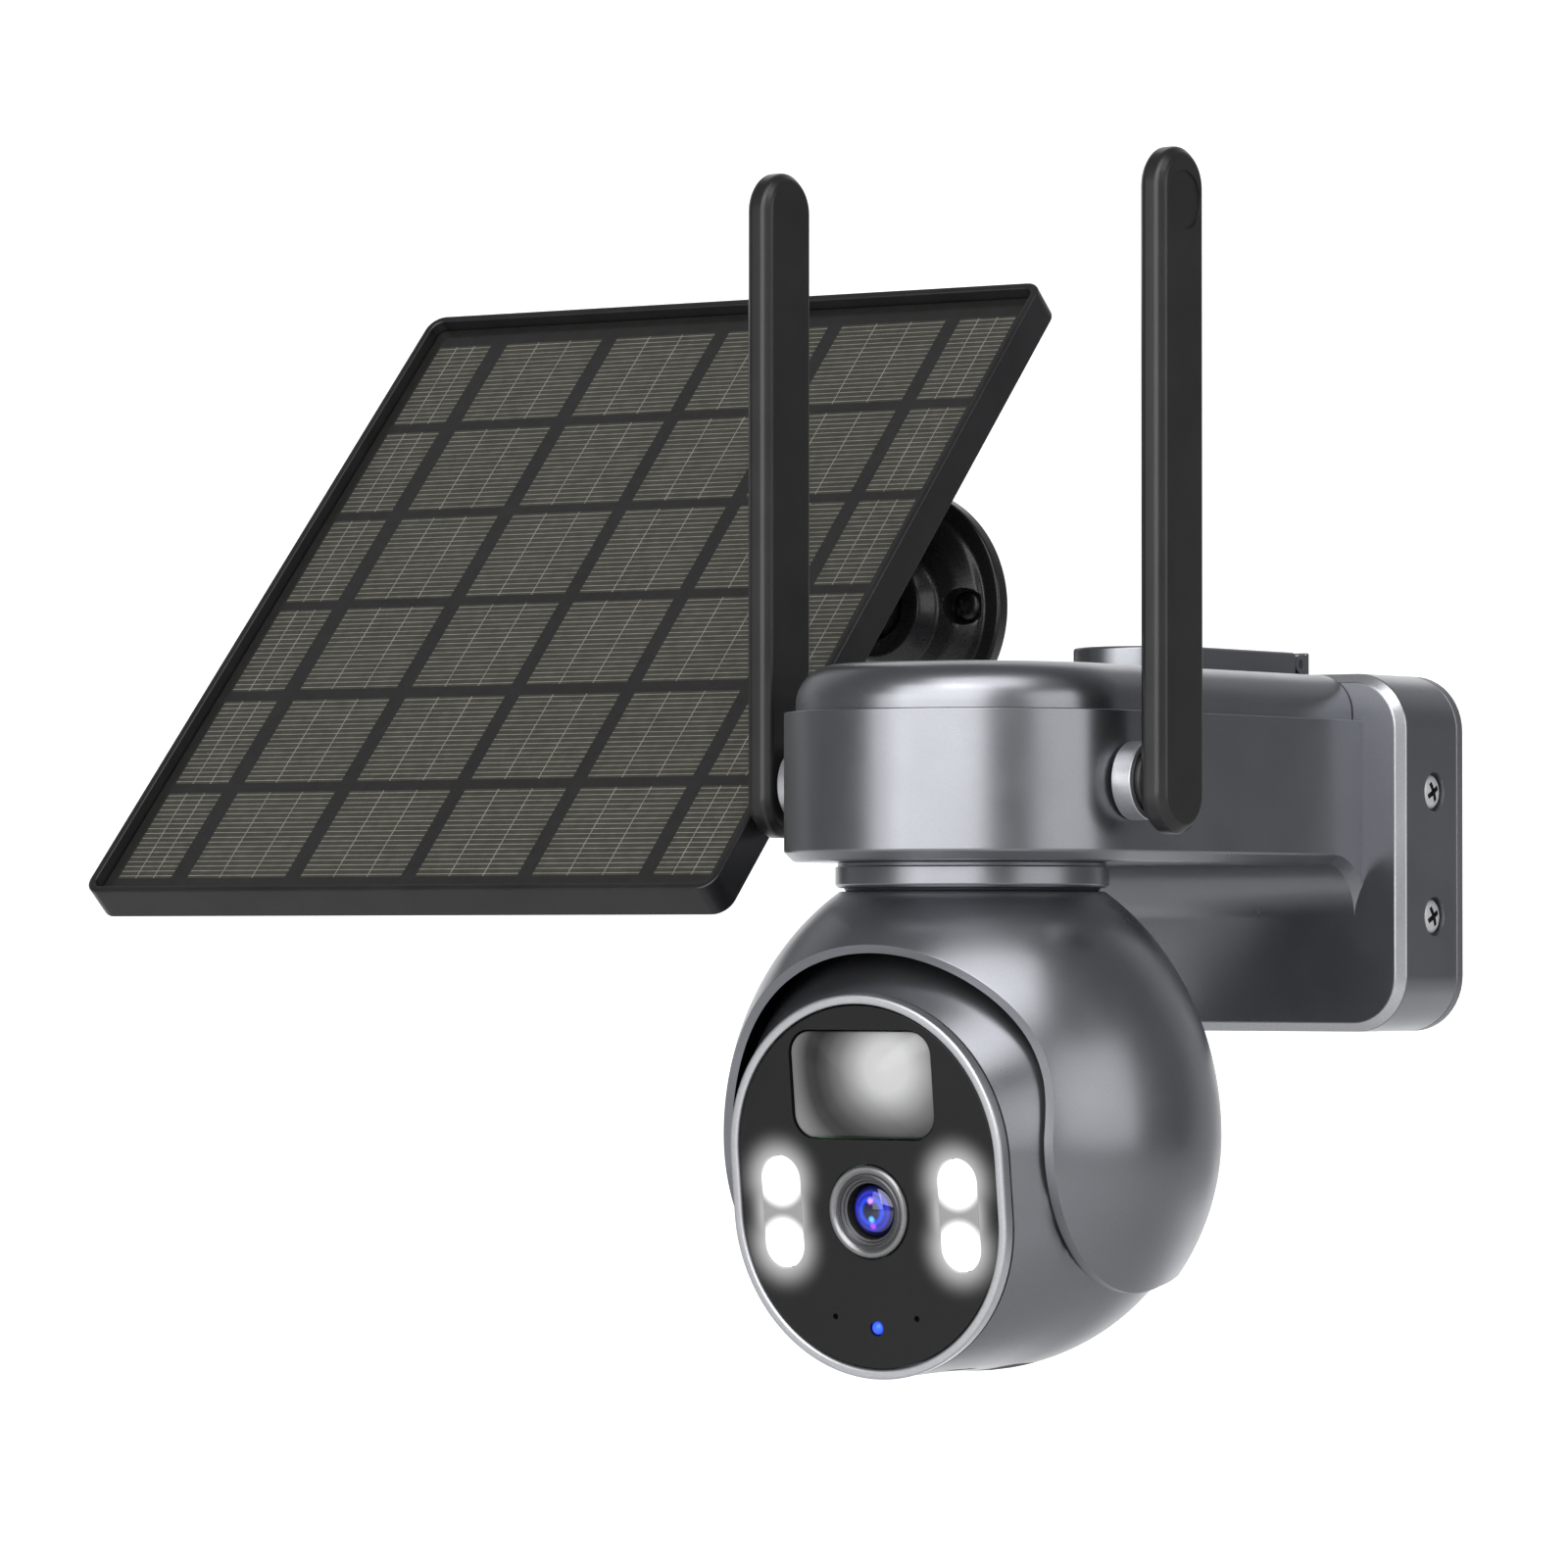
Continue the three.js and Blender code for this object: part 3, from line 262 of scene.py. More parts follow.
def swept(path, radius, n=32):
    """A round bar along a smooth list of points."""
    rings, side = [], Vector((0, 0, 1))
    for i, p in enumerate(path):
        along = (path[min(i + 1, len(path) - 1)] - path[max(i - 1, 0)]).normalized()
        side = (side - along * side.dot(along)).normalized()
        other = along.cross(side)
        rings.append([p + side * x + other * y for x, y in arc(0, 0, radius, 0, 360, n)[:-1]])
    return skin(rings)


def evaluated(obj):
    """Apply the object's modifiers."""
    mesh = bpy.data.meshes.new_from_object(obj.evaluated_get(bpy.context.evaluated_depsgraph_get()))
    obj.modifiers.clear()
    obj.data = mesh
    return obj


def combine(obj, tools, operation):
    for tool in tools:
        modifier = obj.modifiers.new("combine", "BOOLEAN")
        modifier.operation, modifier.solver, modifier.object = operation, "EXACT", tool
    evaluated(obj)
    for tool in tools:
        bpy.data.objects.remove(tool)
    return obj


def cut(obj, *tools):
    return combine(obj, tools, "DIFFERENCE")


def join(obj, *tools):
    return combine(obj, tools, "UNION")


def keep(obj, tool):
    return combine(obj, [tool], "INTERSECT")


def gathered(*objs):
    """Several solids as one object, left as they are."""
    bm = bmesh.new()
    for obj in objs:
        bm.from_mesh(obj.data)
        bpy.data.objects.remove(obj)
    return solid(bm)


def moved(obj, matrix):
    obj.data.transform(matrix)
    if matrix.determinant() < 0:
        obj.data.flip_normals()
    return obj


def tinted(obj, index=1, where=None):
    """Give the faces that pass a test another of the piece's materials."""
    for face in obj.data.polygons:
        if where is None or where(face.center, face.normal):
            face.material_index = index
    return obj


def bevelled(obj, name, width, segments):
    bevel = obj.modifiers.new(name, "BEVEL")
    bevel.width, bevel.segments = width, segments
    bevel.limit_method, bevel.angle_limit = "ANGLE", math.radians(40)
    evaluated(obj)


def finished(obj, node, *paints, edge=0.0, angle=32):
    """Round the last sharp edges, scale to metres, and stand in for a CAD node."""
    if edge:
        bevelled(obj, "edge", edge, 2)
    obj.data.transform(Matrix.Scale(MM, 4))
    obj.name = obj.data.name = f"{node}_detail"
    while len(obj.data.materials) > len(paints):
        obj.data.materials.pop()
    for place, paint in enumerate(paints):
        obj.data.materials[place] = paint
    obj.data.shade_smooth()
    obj.data.set_sharp_from_angle(angle=math.radians(angle))
    weighted = obj.modifiers.new("normals", "WEIGHTED_NORMAL")
    weighted.keep_sharp = True
    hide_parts(node)
    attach(obj, BODY_OF[node])
    return obj


# ---------- materials ----------
class Paint:
    """A Principled material with its own object coordinates, in millimetres."""

    def __init__(self, name, colour, roughness, metallic=0.0, **sockets):
        self.material = bpy.data.materials.new(name)
        self.material.use_nodes = True
        self.tree = self.material.node_tree
        self.shader = self.tree.nodes["Principled BSDF"]
        self.set("Base Color", (*colour, 1))
        self.set("Roughness", roughness)
        self.set("Metallic", metallic)
        for socket, value in sockets.items():
            self.set(socket.replace("_", " ").title().replace("Ior", "IOR"), value)
        coordinates = self.tree.nodes.new("ShaderNodeTexCoord")
        scale = self.node("ShaderNodeVectorMath", operation="SCALE")
        self.link(coordinates.outputs["Object"], scale.inputs[0])
        scale.inputs["Scale"].default_value = 1000
        self.position = scale.outputs[0]

    def set(self, socket, value):
        self.shader.inputs[socket].default_value = value

    def node(self, kind, **properties):
        node = self.tree.nodes.new(kind)
        for key, value in properties.items():
            setattr(node, key, value)
        return node

    def link(self, a, b):
        self.tree.links.new(a, b)

    def noise(self, scale, detail=3.0, stretch=None):
        """Noise with this many cells per millimetre."""
        vector = self.position
        if stretch:
            product = self.node("ShaderNodeVectorMath", operation="MULTIPLY")
            self.link(vector, product.inputs[0])
            product.inputs[1].default_value = stretch
            vector = product.outputs[0]
        node = self.node("ShaderNodeTexNoise")
        node.inputs["Scale"].default_value = scale
        node.inputs["Detail"].default_value = detail
        self.link(vector, node.inputs["Vector"])
        return node.outputs["Fac"]

    def range(self, value, low, high, start=0.3, end=0.7, smooth=False):
        node = self.node("ShaderNodeMapRange")
        node.interpolation_type = "SMOOTHSTEP" if smooth else "LINEAR"
        for socket, number in (("From Min", start), ("From Max", end), ("To Min", low), ("To Max", high)):
            node.inputs[socket].default_value = number
        self.link(value, node.inputs["Value"])
        return node.outputs["Result"]

    def blend(self, value, first, second, socket="Base Color"):
        node = self.node("ShaderNodeMix", data_type="RGBA")
        node.inputs["A"].default_value = (*first, 1) if len(first) == 3 else first
        node.inputs["B"].default_value = (*second, 1) if len(second) == 3 else second
        self.link(value, node.inputs["Factor"])
        if socket:
            self.link(node.outputs["Result"], self.shader.inputs[socket])
        return node.outputs["Result"]

    def rough(self, value, low, high):
        self.link(self.range(value, low, high), self.shader.inputs["Roughness"])

    def bump(self, value, strength, distance=0.05):
        node = self.node("ShaderNodeBump")
        node.inputs["Strength"].default_value = strength
        node.inputs["Distance"].default_value = distance * MM
        self.link(value, node.inputs["Height"])
        self.link(node.outputs["Normal"], self.shader.inputs["Normal"])

    def distance(self, point):
        node = self.node("ShaderNodeVectorMath", operation="DISTANCE")
        self.link(self.position, node.inputs[0])
        node.inputs[1].default_value = point
        return node.outputs["Value"]

    def math(self, operation, a, b=0.0):
        node = self.node("ShaderNodeMath", operation=operation)
        for socket, value in zip(node.inputs, (a, b)):
            if isinstance(value, (int, float)):
                socket.default_value = value
            else:
                self.link(value, socket)
        return node.outputs["Value"]


def metallic_paint(name, dark, light, roughness, metallic, coat=0.0):
    paint = Paint(name, light, roughness, metallic, coat_weight=coat, coat_roughness=0.12)
    flakes = paint.noise(3.0, 2.0)
    paint.blend(paint.range(flakes, 0, 1), dark, light)
    cloud = paint.noise(0.06, 3.0)
    paint.rough(cloud, roughness - 0.03, roughness + 0.04)
    paint.bump(paint.noise(1.6, 1.0), 0.04, 0.02)
    return paint.material


def moulded(name, dark, light, roughness, grain, strength, coat=0.0):
    paint = Paint(name, light, roughness, 0.0, coat_weight=coat, coat_roughness=0.1)
    paint.blend(paint.range(paint.noise(0.09, 4.0), 0, 1), dark, light)
    speck = paint.noise(grain, 2.0)
    paint.rough(speck, roughness - 0.05, roughness + 0.06)
    paint.bump(speck, strength)
    return paint.material


def brushed(name, dark, light, roughness, metallic=1.0):
    paint = Paint(name, light, roughness, metallic)
    scratches = paint.noise(1.2, 4.0, (0.6, 6.0, 6.0))
    paint.blend(paint.range(scratches, 0, 1), dark, light)
    paint.rough(scratches, roughness - 0.06, roughness + 0.1)
    paint.bump(scratches, 0.15, 0.02)
    return paint.material


GUNMETAL = metallic_paint("gunmetal_paint", (0.256, 0.261, 0.281), (0.274, 0.280, 0.301), 0.30, 0.95)
# silver trim of the bezel and antenna bosses, also used as a painted highlight on the box's front chamfer
BRIGHT = metallic_paint("silver_trim", (0.52, 0.525, 0.55), (0.60, 0.605, 0.63), 0.3, 0.85, 0.1)
PLATE = metallic_paint("plate_paint", (0.20, 0.205, 0.22), (0.25, 0.255, 0.275), 0.4, 0.8)
BLACK = moulded("black_plastic", (0.016, 0.016, 0.017), (0.024, 0.024, 0.025), 0.42, 3.0, 0.12)
ANTENNA_BLACK = moulded("antenna_plastic", (0.010, 0.010, 0.010), (0.015, 0.015, 0.015), 0.33, 4.0, 0.08)
FRAME_BLACK = moulded("panel_frame_black", (0.008, 0.008, 0.009), (0.014, 0.014, 0.015), 0.34, 2.4, 0.1)
BRACKET_BLACK = moulded("bracket_black", (0.007, 0.007, 0.008), (0.011, 0.011, 0.012), 0.3, 2.0, 0.05, 0.1)
RUBBER = moulded("rubber", (0.020, 0.020, 0.021), (0.034, 0.034, 0.035), 0.68, 5.0, 0.25)
SHADOW = moulded("recess_dark", (0.006, 0.006, 0.006), (0.010, 0.010, 0.010), 0.7, 3.0, 0.1)
STEEL = brushed("screw_steel", (0.58, 0.58, 0.59), (0.78, 0.78, 0.79), 0.4, 0.55)
DARK_STEEL = brushed("black_screw", (0.030, 0.030, 0.031), (0.055, 0.055, 0.056), 0.3)
LENS_METAL = metallic_paint("lens_metal", (0.24, 0.24, 0.245), (0.30, 0.30, 0.305), 0.3, 0.9)
LENS_DARK = metallic_paint("lens_inner", (0.09, 0.09, 0.092), (0.12, 0.12, 0.123), 0.35, 0.8)


def ball_point(x, n, z):
    """A point on the face in the row frame: x across, n out along the lens, z up."""
    return BALL @ Vector((x, -n, z))


def face_black():
    paint = Paint("gloss_black", (0.009, 0.009, 0.009), 0.2, 0.0, coat_weight=0.05, specular_ior_level=0.3)
    paint.rough(paint.noise(0.05, 3.0), 0.18, 0.24)
    # painted glow: the black plate itself is given white emission in a soft halo round each LED
    glow = 0.0
    for x in (-LED_X, LED_X):
        for z in LED_Z:
            near = paint.distance(ball_point(x, 37.4, z))
            glow = paint.math("ADD", paint.range(near, 1.0, 0.0, LED_R * 0.8, LED_R * 2.9, True), glow)
    painted_halo = paint.math("POWER", glow, 2.2)
    paint.set("Emission Color", (1.0, 1.0, 1.0, 1))
    paint.link(paint.math("MULTIPLY", painted_halo, 0.55), paint.shader.inputs["Emission Strength"])
    return paint.material


def ramp(paint, value, stops):
    """Colours along a value from 0 to 1."""
    node = paint.node("ShaderNodeValToRGB")
    paint.link(value, node.inputs["Fac"])
    elements = node.color_ramp.elements
    for element, (position, colour) in zip(elements, (stops[0], stops[-1])):
        element.position, element.color = position, (*colour, 1)
    for position, colour in stops[1:-1]:
        elements.new(position).color = (*colour, 1)
    return node.outputs["Color"]


def frosted():
    """A milky motion-sensor lens with painted light and shade: a painted highlight lightest towards its upper
    right, painted shade round it, and a lighter rim.
    """
    paint = Paint("frosted_lens", (0.5, 0.5, 0.51), 0.3, 0.0, coat_weight=0.25, coat_roughness=0.15)
    near = paint.range(paint.distance(ball_point(7.0, 38.0, PIR_Z + 3.5)), 0.0, 1.0, 0.0, 26.0)
    painted_light_and_shade = ((0.0, 0.50), (0.18, 0.46), (0.31, 0.27), (0.42, 0.13), (0.54, 0.05), (0.64, 0.018), (0.73, 0.03),
             (0.95, 0.24))
    paint.link(ramp(paint, near, [(p, (t, t, t)) for p, t in painted_light_and_shade]), paint.shader.inputs["Base Color"])
    paint.bump(paint.noise(3.0, 2.0), 0.06, 0.03)
    return paint.material


def coated_glass():
    """The coated front element: violet and blue rings round a dark iris as painted reflections, with painted
    coloured glints, glowing in its own colours.
    """
    paint = Paint("lens_glass", (0.01, 0.012, 0.10), 0.06, 0.0, coat_weight=0.6, coat_roughness=0.02, ior=1.6)
    radius = paint.range(paint.distance(ball_point(0, 36.4, LENS_Z)), 0.0, 1.0, 0.0, GLASS_R)
    stops = ((0.0, (0.001, 0.001, 0.008)), (0.34, (0.002, 0.004, 0.04)), (0.48, (0.012, 0.05, 0.62)),
             (0.62, (0.004, 0.012, 0.16)), (0.72, (0.02, 0.02, 0.42)), (0.82, (0.003, 0.004, 0.05)),
             (1.0, (0.001, 0.001, 0.006)))
    # painted glints: coloured highlight spots at three points on the glass
    painted_glints = ((-0.1, 2.0, (0.55, 0.25, 1.0)), (0.0, -1.6, (0.10, 0.45, 1.0)), (0.1, -2.9, (0.30, 0.05, 0.9)))
    colour = ramp(paint, radius, stops)
    for x, z, tint in painted_glints:
        near = paint.range(paint.distance(ball_point(x, 36.5, LENS_Z + z)), 1.0, 0.0, 0.2, 0.95, True)
        mix = paint.node("ShaderNodeMix", data_type="RGBA")
        paint.link(near, mix.inputs["Factor"])
        paint.link(colour, mix.inputs["A"])
        mix.inputs["B"].default_value = (*tint, 1)
        colour = mix.outputs["Result"]
    paint.link(colour, paint.shader.inputs["Base Color"])
    # painted glow: the glass gives off the colours of its painted reflections
    paint.link(colour, paint.shader.inputs["Emission Color"])
    paint.set("Emission Strength", 0.6)
    return paint.material


def lit(name, colour, strength):
    paint = Paint(name, colour, 0.25, 0.0)
    paint.blend(paint.range(paint.noise(0.8, 2.0), 0, 1), tuple(c * 0.95 for c in colour), colour)
    paint.set("Emission Color", (*colour, 1))
    paint.set("Emission Strength", strength)
    return paint.material


def milky_window():
    """A lamp cover that glows over each lamp and dies away between them."""
    paint = Paint("led_cover", (0.22, 0.22, 0.22), 0.25, 0.0, coat_weight=0.3, coat_roughness=0.08)
    glow = 0.0
    for x in (-LED_X, LED_X):
        for z in LED_Z:
            near = paint.distance(ball_point(x, 37.2, z))
            glow = paint.math("MAXIMUM", paint.range(near, 1.0, 0.0, LED_R * 0.8, LED_R * 1.5, True), glow)
    paint.set("Emission Color", (1.0, 1.0, 1.0, 1))
    paint.link(paint.range(glow, 0.08, 1.6, 0.0, 1.0), paint.shader.inputs["Emission Strength"])
    return paint.material


def cell_dark(name, dark, light, roughness):
    paint = Paint(name, light, roughness, 0.0, coat_weight=0.7, coat_roughness=0.1)
    paint.blend(paint.range(paint.noise(0.35, 5.0), 0, 1), dark, light)
    paint.rough(paint.noise(0.03, 2.0), roughness - 0.05, roughness + 0.05)
    return paint.material


FACE_BLACK, FROSTED, GLASS = face_black(), frosted(), coated_glass()
LED_WHITE = lit("led_lamp", (1.0, 1.0, 1.0), 9.0)
STATUS_BLUE = lit("status_blue", (0.03, 0.10, 0.95), 0.6)
WINDOW = milky_window()
CELL = cell_dark("solar_cell", (0.032, 0.031, 0.023), (0.046, 0.044, 0.034), 0.3)
BACKING = cell_dark("panel_backing", (0.009, 0.009, 0.008), (0.013, 0.013, 0.012), 0.3)
FINGER = cell_dark("cell_finger", (0.18, 0.175, 0.15), (0.26, 0.25, 0.22), 0.35)
BOARD = moulded("circuit_board", (0.012, 0.07, 0.025), (0.02, 0.11, 0.04), 0.4, 1.5, 0.2, 0.3)
WRAP = moulded("battery_wrap", (0.02, 0.10, 0.32), (0.03, 0.14, 0.42), 0.28, 1.0, 0.05, 0.5)


# ---------- wall plate and arm housing ----------
def arm_ring(half, rear, z, n=56):
    ring = [(half, rear, z)]
    ring += [(x, y, z) for x, y in arc(0, PAN_Y, half, 0, -180, n)]
    return ring + [(-half, rear, z)]


def box_outline(inset):
    return rounded_rect(2 * BOX_HALF[0], 2 * BOX_HALF[1], BOX_CORNER, n=12)(inset)


def wall_plate():
    plate = slab(box_outline, 0, 2.5, 0.3, 0.3, FORWARD)
    holes = [moved(rod(2.3, -5, 5, FORWARD), at(x, 0, z)) for x in (-20, 20) for z in (-27, 27)]
    tabs = []
    for side in (-1, 1):
        x = side * (BOX_HALF[0] - BOX_WALL - 1.8)
        for z in SIDE_SCREW_ROWS:
            tabs.append(block(x - 1.5, x + 1.5, -17.5, -2.0, z - 5.5, z + 5.5))
    finished(cut(join(plate, *tabs), *holes), "wall_plate", PLATE, edge=0.25)


def screw(head_r, head_h, shank_r, length):
    """A Phillips pan-head screw along +Z; the underside of its head is at height 0."""
    crown = [(head_r * math.cos(t), head_h * (0.35 + 0.65 * math.sin(t))) for t in quarter(8)]
    profile = [(0, -length), (shank_r * 0.7, -length), (shank_r, 0.8 - length), (shank_r, 0),
               (head_r - 0.15, 0), (head_r, 0.15)]
    body = turned(profile + crown + [(0, head_h)], n=48)
    wings = []
    for turn in (0, 90):
        wing = pressed(rounded_rect(head_r * 1.24, head_r * 0.34, 0.2, n=3),
                       [(0.12, head_h * 0.25), (0, head_h + 1)])
        wings.append(tinted(moved(wing, Matrix.Rotation(math.radians(turn), 4, "Z"))))
    for wing in wings:
        cut(body, wing)
    return body


def arm_housing():
    rows = soften([(4.0, ARM_BOTTOM), (ARM_CHAMFER, ARM_BOTTOM), (0, ARM_BOTTOM + ARM_CHAMFER), (0, SEAM),
                   (1.2, SEAM)], 0.35, 3)
    arm = skin([arm_ring(ARM_HALF - inset, BOX_FRONT + 1, z) for inset, z in rows])
    rows = soften([(6.0, BOX_FRONT), (BOX_CHAMFER, BOX_FRONT), (0, BOX_FRONT + BOX_CHAMFER), (0, -2.6),
                   (1.0, -2.6)], 0.3, 3)
    wall_box = skin([[(x, y, z) for x, z in box_outline(inset)] for inset, y in rows])
    y, z, flat = BOX_FRONT - ARM_FILLET, ARM_BOTTOM - ARM_FILLET, ARM_HALF - ARM_CHAMFER

    def web(inset=0):
        curve = arc(y, z, ARM_FILLET + inset, 90, 0, 20)
        return [(BOX_FRONT + 3, ARM_BOTTOM + 3), (y, ARM_BOTTOM + 3)] + curve + [(BOX_FRONT + 3, z)]
    rows = [(ARM_CHAMFER, -ARM_HALF), (0, -flat), (0, flat), (ARM_CHAMFER, ARM_HALF)]
    fillet = pressed(web, rows, basis=SIDEWAYS)
    shell = join(arm, wall_box, fillet)
    floor, inner = ARM_BOTTOM + ARM_FLOOR, ARM_HALF - ARM_WALL
    arm_room = skin([arm_ring(inner, BOX_FRONT - 3, z, 40) for z in (floor, SEAM + 1)])
    width, height = (2 * (half - BOX_WALL) for half in BOX_HALF)
    room = rounded_rect(width, height, BOX_CORNER - BOX_WALL, n=6)
    tools = [arm_room, slab(room, 0, -BOX_FRONT - 3, basis=FORWARD),
             moved(rod(5, 0, 12, FORWARD, 24), at(0, BOX_FRONT + 5, 14)),
             moved(rod(18.6, -10, 6, n=64), at(0, PAN_Y, 0)),
             moved(rod(3.3, -60, 60, SIDEWAYS, 32), at(0, PAN_Y, ANTENNA_Z)),
             moved(rod(4.3, -BOX_HALF[1] - 2, 8 - BOX_HALF[1], n=32), at(INLET_X, INLET_Y, 0))]
    for side in (-1, 1):
        for z in SIDE_SCREW_ROWS:
            place = at(side * BOX_HALF[0], SIDE_SCREW_Y, z)
            tools.append(moved(rod(4.0, -1.8, 1.8, SIDEWAYS, 40), place))
            tools.append(moved(rod(1.9, -8, 8, SIDEWAYS, 16), place))
    cut(shell, *tools)
    chamfer = BOX_FRONT + BOX_CHAMFER
    # painted highlight: the box front's chamfer faces take the lighter silver material
    tinted(shell, 1, lambda c, n: BOX_FRONT + 0.05 < c.y < chamfer and 0.5 < -n.y < 0.9)
    finished(shell, "arm_housing", GUNMETAL, BRIGHT)

    for number, (side, z) in enumerate(((s, z) for s in (-1, 1) for z in SIDE_SCREW_ROWS), 1):
        one = screw(3.5, 1.5, 1.5, 8)
        place = at(side * (BOX_HALF[0] - 1.7), SIDE_SCREW_Y, z)
        moved(one, place @ Matrix.Rotation(math.radians(side * 90), 4, "Y")
              @ Matrix.Rotation(math.radians(28), 4, "Z"))
        finished(one, f"side_screw_{number}", STEEL, SHADOW)

    low, high = span("neck_ring")
    lip = TILT.z + HOOD_TOP + 0.06
    ring = [(18.6, lip), (25.0, lip), (25.3, low.z), (26.4, low.z), (27.0, low.z + 0.6), (27.0, high.z - 0.9),
            (26.5, high.z - 0.9), (26.5, high.z), (18.6, high.z)]
    ring = soften(ring, 0.25, 3, True)
    finished(moved(turned(ring + ring[:1], n=96), at(0, PAN_Y, 0)), "neck_ring", GUNMETAL)


def top_cover():
    rear = BOX_FRONT - 0.3

    def dome(half, base, top, steps, n):
        rings = [arm_ring(half, rear, base, n)]
        for k in range(steps + 1):
            t = math.pi / 2 * k / steps
            inset, drop = COVER_ROUND * (1 - math.cos(t)), COVER_ROUND * (1 - math.sin(t))
            rings.append(arm_ring(half - inset, rear, top - drop, n))
        return skin(rings)
    outer = dome(COVER_HALF, SEAM + 0.1, COVER_TOP, 14, 56)
    room = skin([arm_ring(COVER_HALF - 3.2, rear - 3, SEAM - 2, 32),
                 arm_ring(COVER_HALF - 3.2, rear - 3, COVER_TOP - COVER_ROUND, 32),
                 arm_ring(COVER_HALF - COVER_ROUND + 1, rear - 3, COVER_TOP - COVER_WALL, 32)])
    floor = COVER_TOP - 3.4
    cut(outer, room)
    join(outer, block(-10, 10, -59, -28, floor - 2, COVER_TOP - 1))
    bay = slab(rounded_rect(16, 27, 1.5, 0, -43.5), floor, COVER_TOP + 1)
    cut(outer, bay, moved(rod(1.8, -4, 4, n=24), at(0, -52, floor)))
    finished(outer, "top_cover", GUNMETAL)


def hatch():
    low, high = span("service_hatch")
    half, front, knuckle = high.x, low.y, 2.1
    rear, pin_z = HATCH_PIN.y - knuckle, HATCH_PIN.z

    def outline(inset=0):
        return ([(half - inset, rear - inset)] + arc(0, front + half, half - inset, 0, -180, 40)
                + [(-half + inset, rear - inset)])
    lid = slab(outline, low.z, high.z, 0.3, 0.7)
    groove = pressed(lambda inset=0: outline(1.2 + inset), [(0, high.z - 0.35), (0, high.z + 1)])
    core = pressed(lambda inset=0: outline(1.7 + inset), [(0, high.z - 2), (0, high.z - 0.05)])
    lug = join(moved(rod(knuckle - 0.2, -6, 6, SIDEWAYS, 32), at(0, HATCH_PIN.y, pin_z)),
               block(-6, 6, rear - 1, HATCH_PIN.y, pin_z - 1.5, pin_z + 1.5))
    join(cut(lid, groove), core, lug)
    hole = [moved(rod(0.9, -20, 20, SIDEWAYS, 16), at(0, HATCH_PIN.y, pin_z)) for _ in range(2)]
    finished(cut(lid, hole[0]), "service_hatch", GUNMETAL)

    low, high = span("hatch_hinge_block")
    base = slab(rounded_rect(2 * half, 1.2, 0.3, 0, high.y - 0.6, 3), low.z, high.z, 0, 0.3)
    parts = []
    for side in (-1, 1):
        x0, x1 = sorted((side * 6.3, side * half))
        parts.append(moved(rod(knuckle - 0.2, x0, x1, SIDEWAYS, 32), at(0, HATCH_PIN.y, pin_z)))
        parts.append(block(x0, x1, HATCH_PIN.y, high.y - 0.5, pin_z - 1.9, pin_z + 1.9))
    finished(cut(join(base, *parts), hole[1]), "hatch_hinge_block", GUNMETAL, edge=0.15)


# ---------- antennas ----------
def antenna(side, label):
    flip = Matrix.Identity(4) if side > 0 else at(0, 2 * PAN_Y, 0) @ Matrix.Rotation(math.pi, 4, "Z")
    low, high = span("antenna_right")
    centre, half = (low.z + high.z) / 2, (high.x - low.x) / 2
    middle = (low.x + high.x) / 2
    rows = [(5.0, -half), (1.5, -half), (0, 1.5 - half), (0, half - 1.5), (1.5, half), (5.0, half)]
    rows = [(inset, middle + h) for inset, h in soften(rows, 0.6, 4)]
    blade = pressed(stadium(high.y - low.y, high.z - low.z, PAN_Y, centre, 28), rows, basis=SIDEWAYS)
    badge = pressed(circle(6, PAN_Y, high.z - 10.5), [(0.25, high.x - 0.3), (0, high.x + 2)], basis=SIDEWAYS)
    socket = moved(rod(2.3, 0, middle, SIDEWAYS, 24), at(0, PAN_Y, ANTENNA_Z))
    finished(moved(cut(blade, badge, socket), flip), f"antenna_{label}", ANTENNA_BLACK)

    end = low.x - 0.2
    profile = [(0, 30.4), (2.6, 30.4), (4.2, 32.3), (4.2, 32.9), (3, 32.9), (3, 38), (6, 38), (6, end - 0.8),
               (5.2, end), (2, end), (2, middle - 0.3), (0, middle - 0.3)]
    hub = moved(turned(soften(profile, 0.2, 2), SIDEWAYS, 48), at(0, PAN_Y, ANTENNA_Z))
    finished(moved(hub, flip), f"antenna_hub_{label}", BLACK)

    low, high = span("antenna_boss_right")
    ring = soften([(6.3, low.x), (7.7, low.x), (7.7, high.x), (6.3, high.x)], 0.35, 3, True)
    boss = moved(turned(ring + ring[:1], SIDEWAYS, 64), at(0, PAN_Y, ANTENNA_Z))
    finished(moved(boss, flip), f"antenna_boss_{label}", BRIGHT)


# ---------- turning head ----------
def resampled(points, count):
    """Points at even spacing along a polyline, without its last point."""
    lengths = [0.0]
    for a, b in zip(points, points[1:]):
        lengths.append(lengths[-1] + (b - a).length)
    out, k = [], 0
    for i in range(count):
        target = lengths[-1] * i / count
        while lengths[k + 1] < target:
            k += 1
        t = (target - lengths[k]) / (lengths[k + 1] - lengths[k])
        out.append(points[k].lerp(points[k + 1], t))
    return out


def catmull(points, steps):
    """A smooth curve through flat points, beginning at the second and ending at the last but one."""
    out = []
    for a, b, c, d in zip(points, points[1:], points[2:], points[3:]):
        for k in range(steps):
            t = k / steps
            out.append(0.5 * ((2 * b) + (c - a) * t + (2 * a - 5 * b + 4 * c - d) * t ** 2
                              + (3 * b - a - 3 * c + d) * t ** 3))
    return out + [points[-2]]


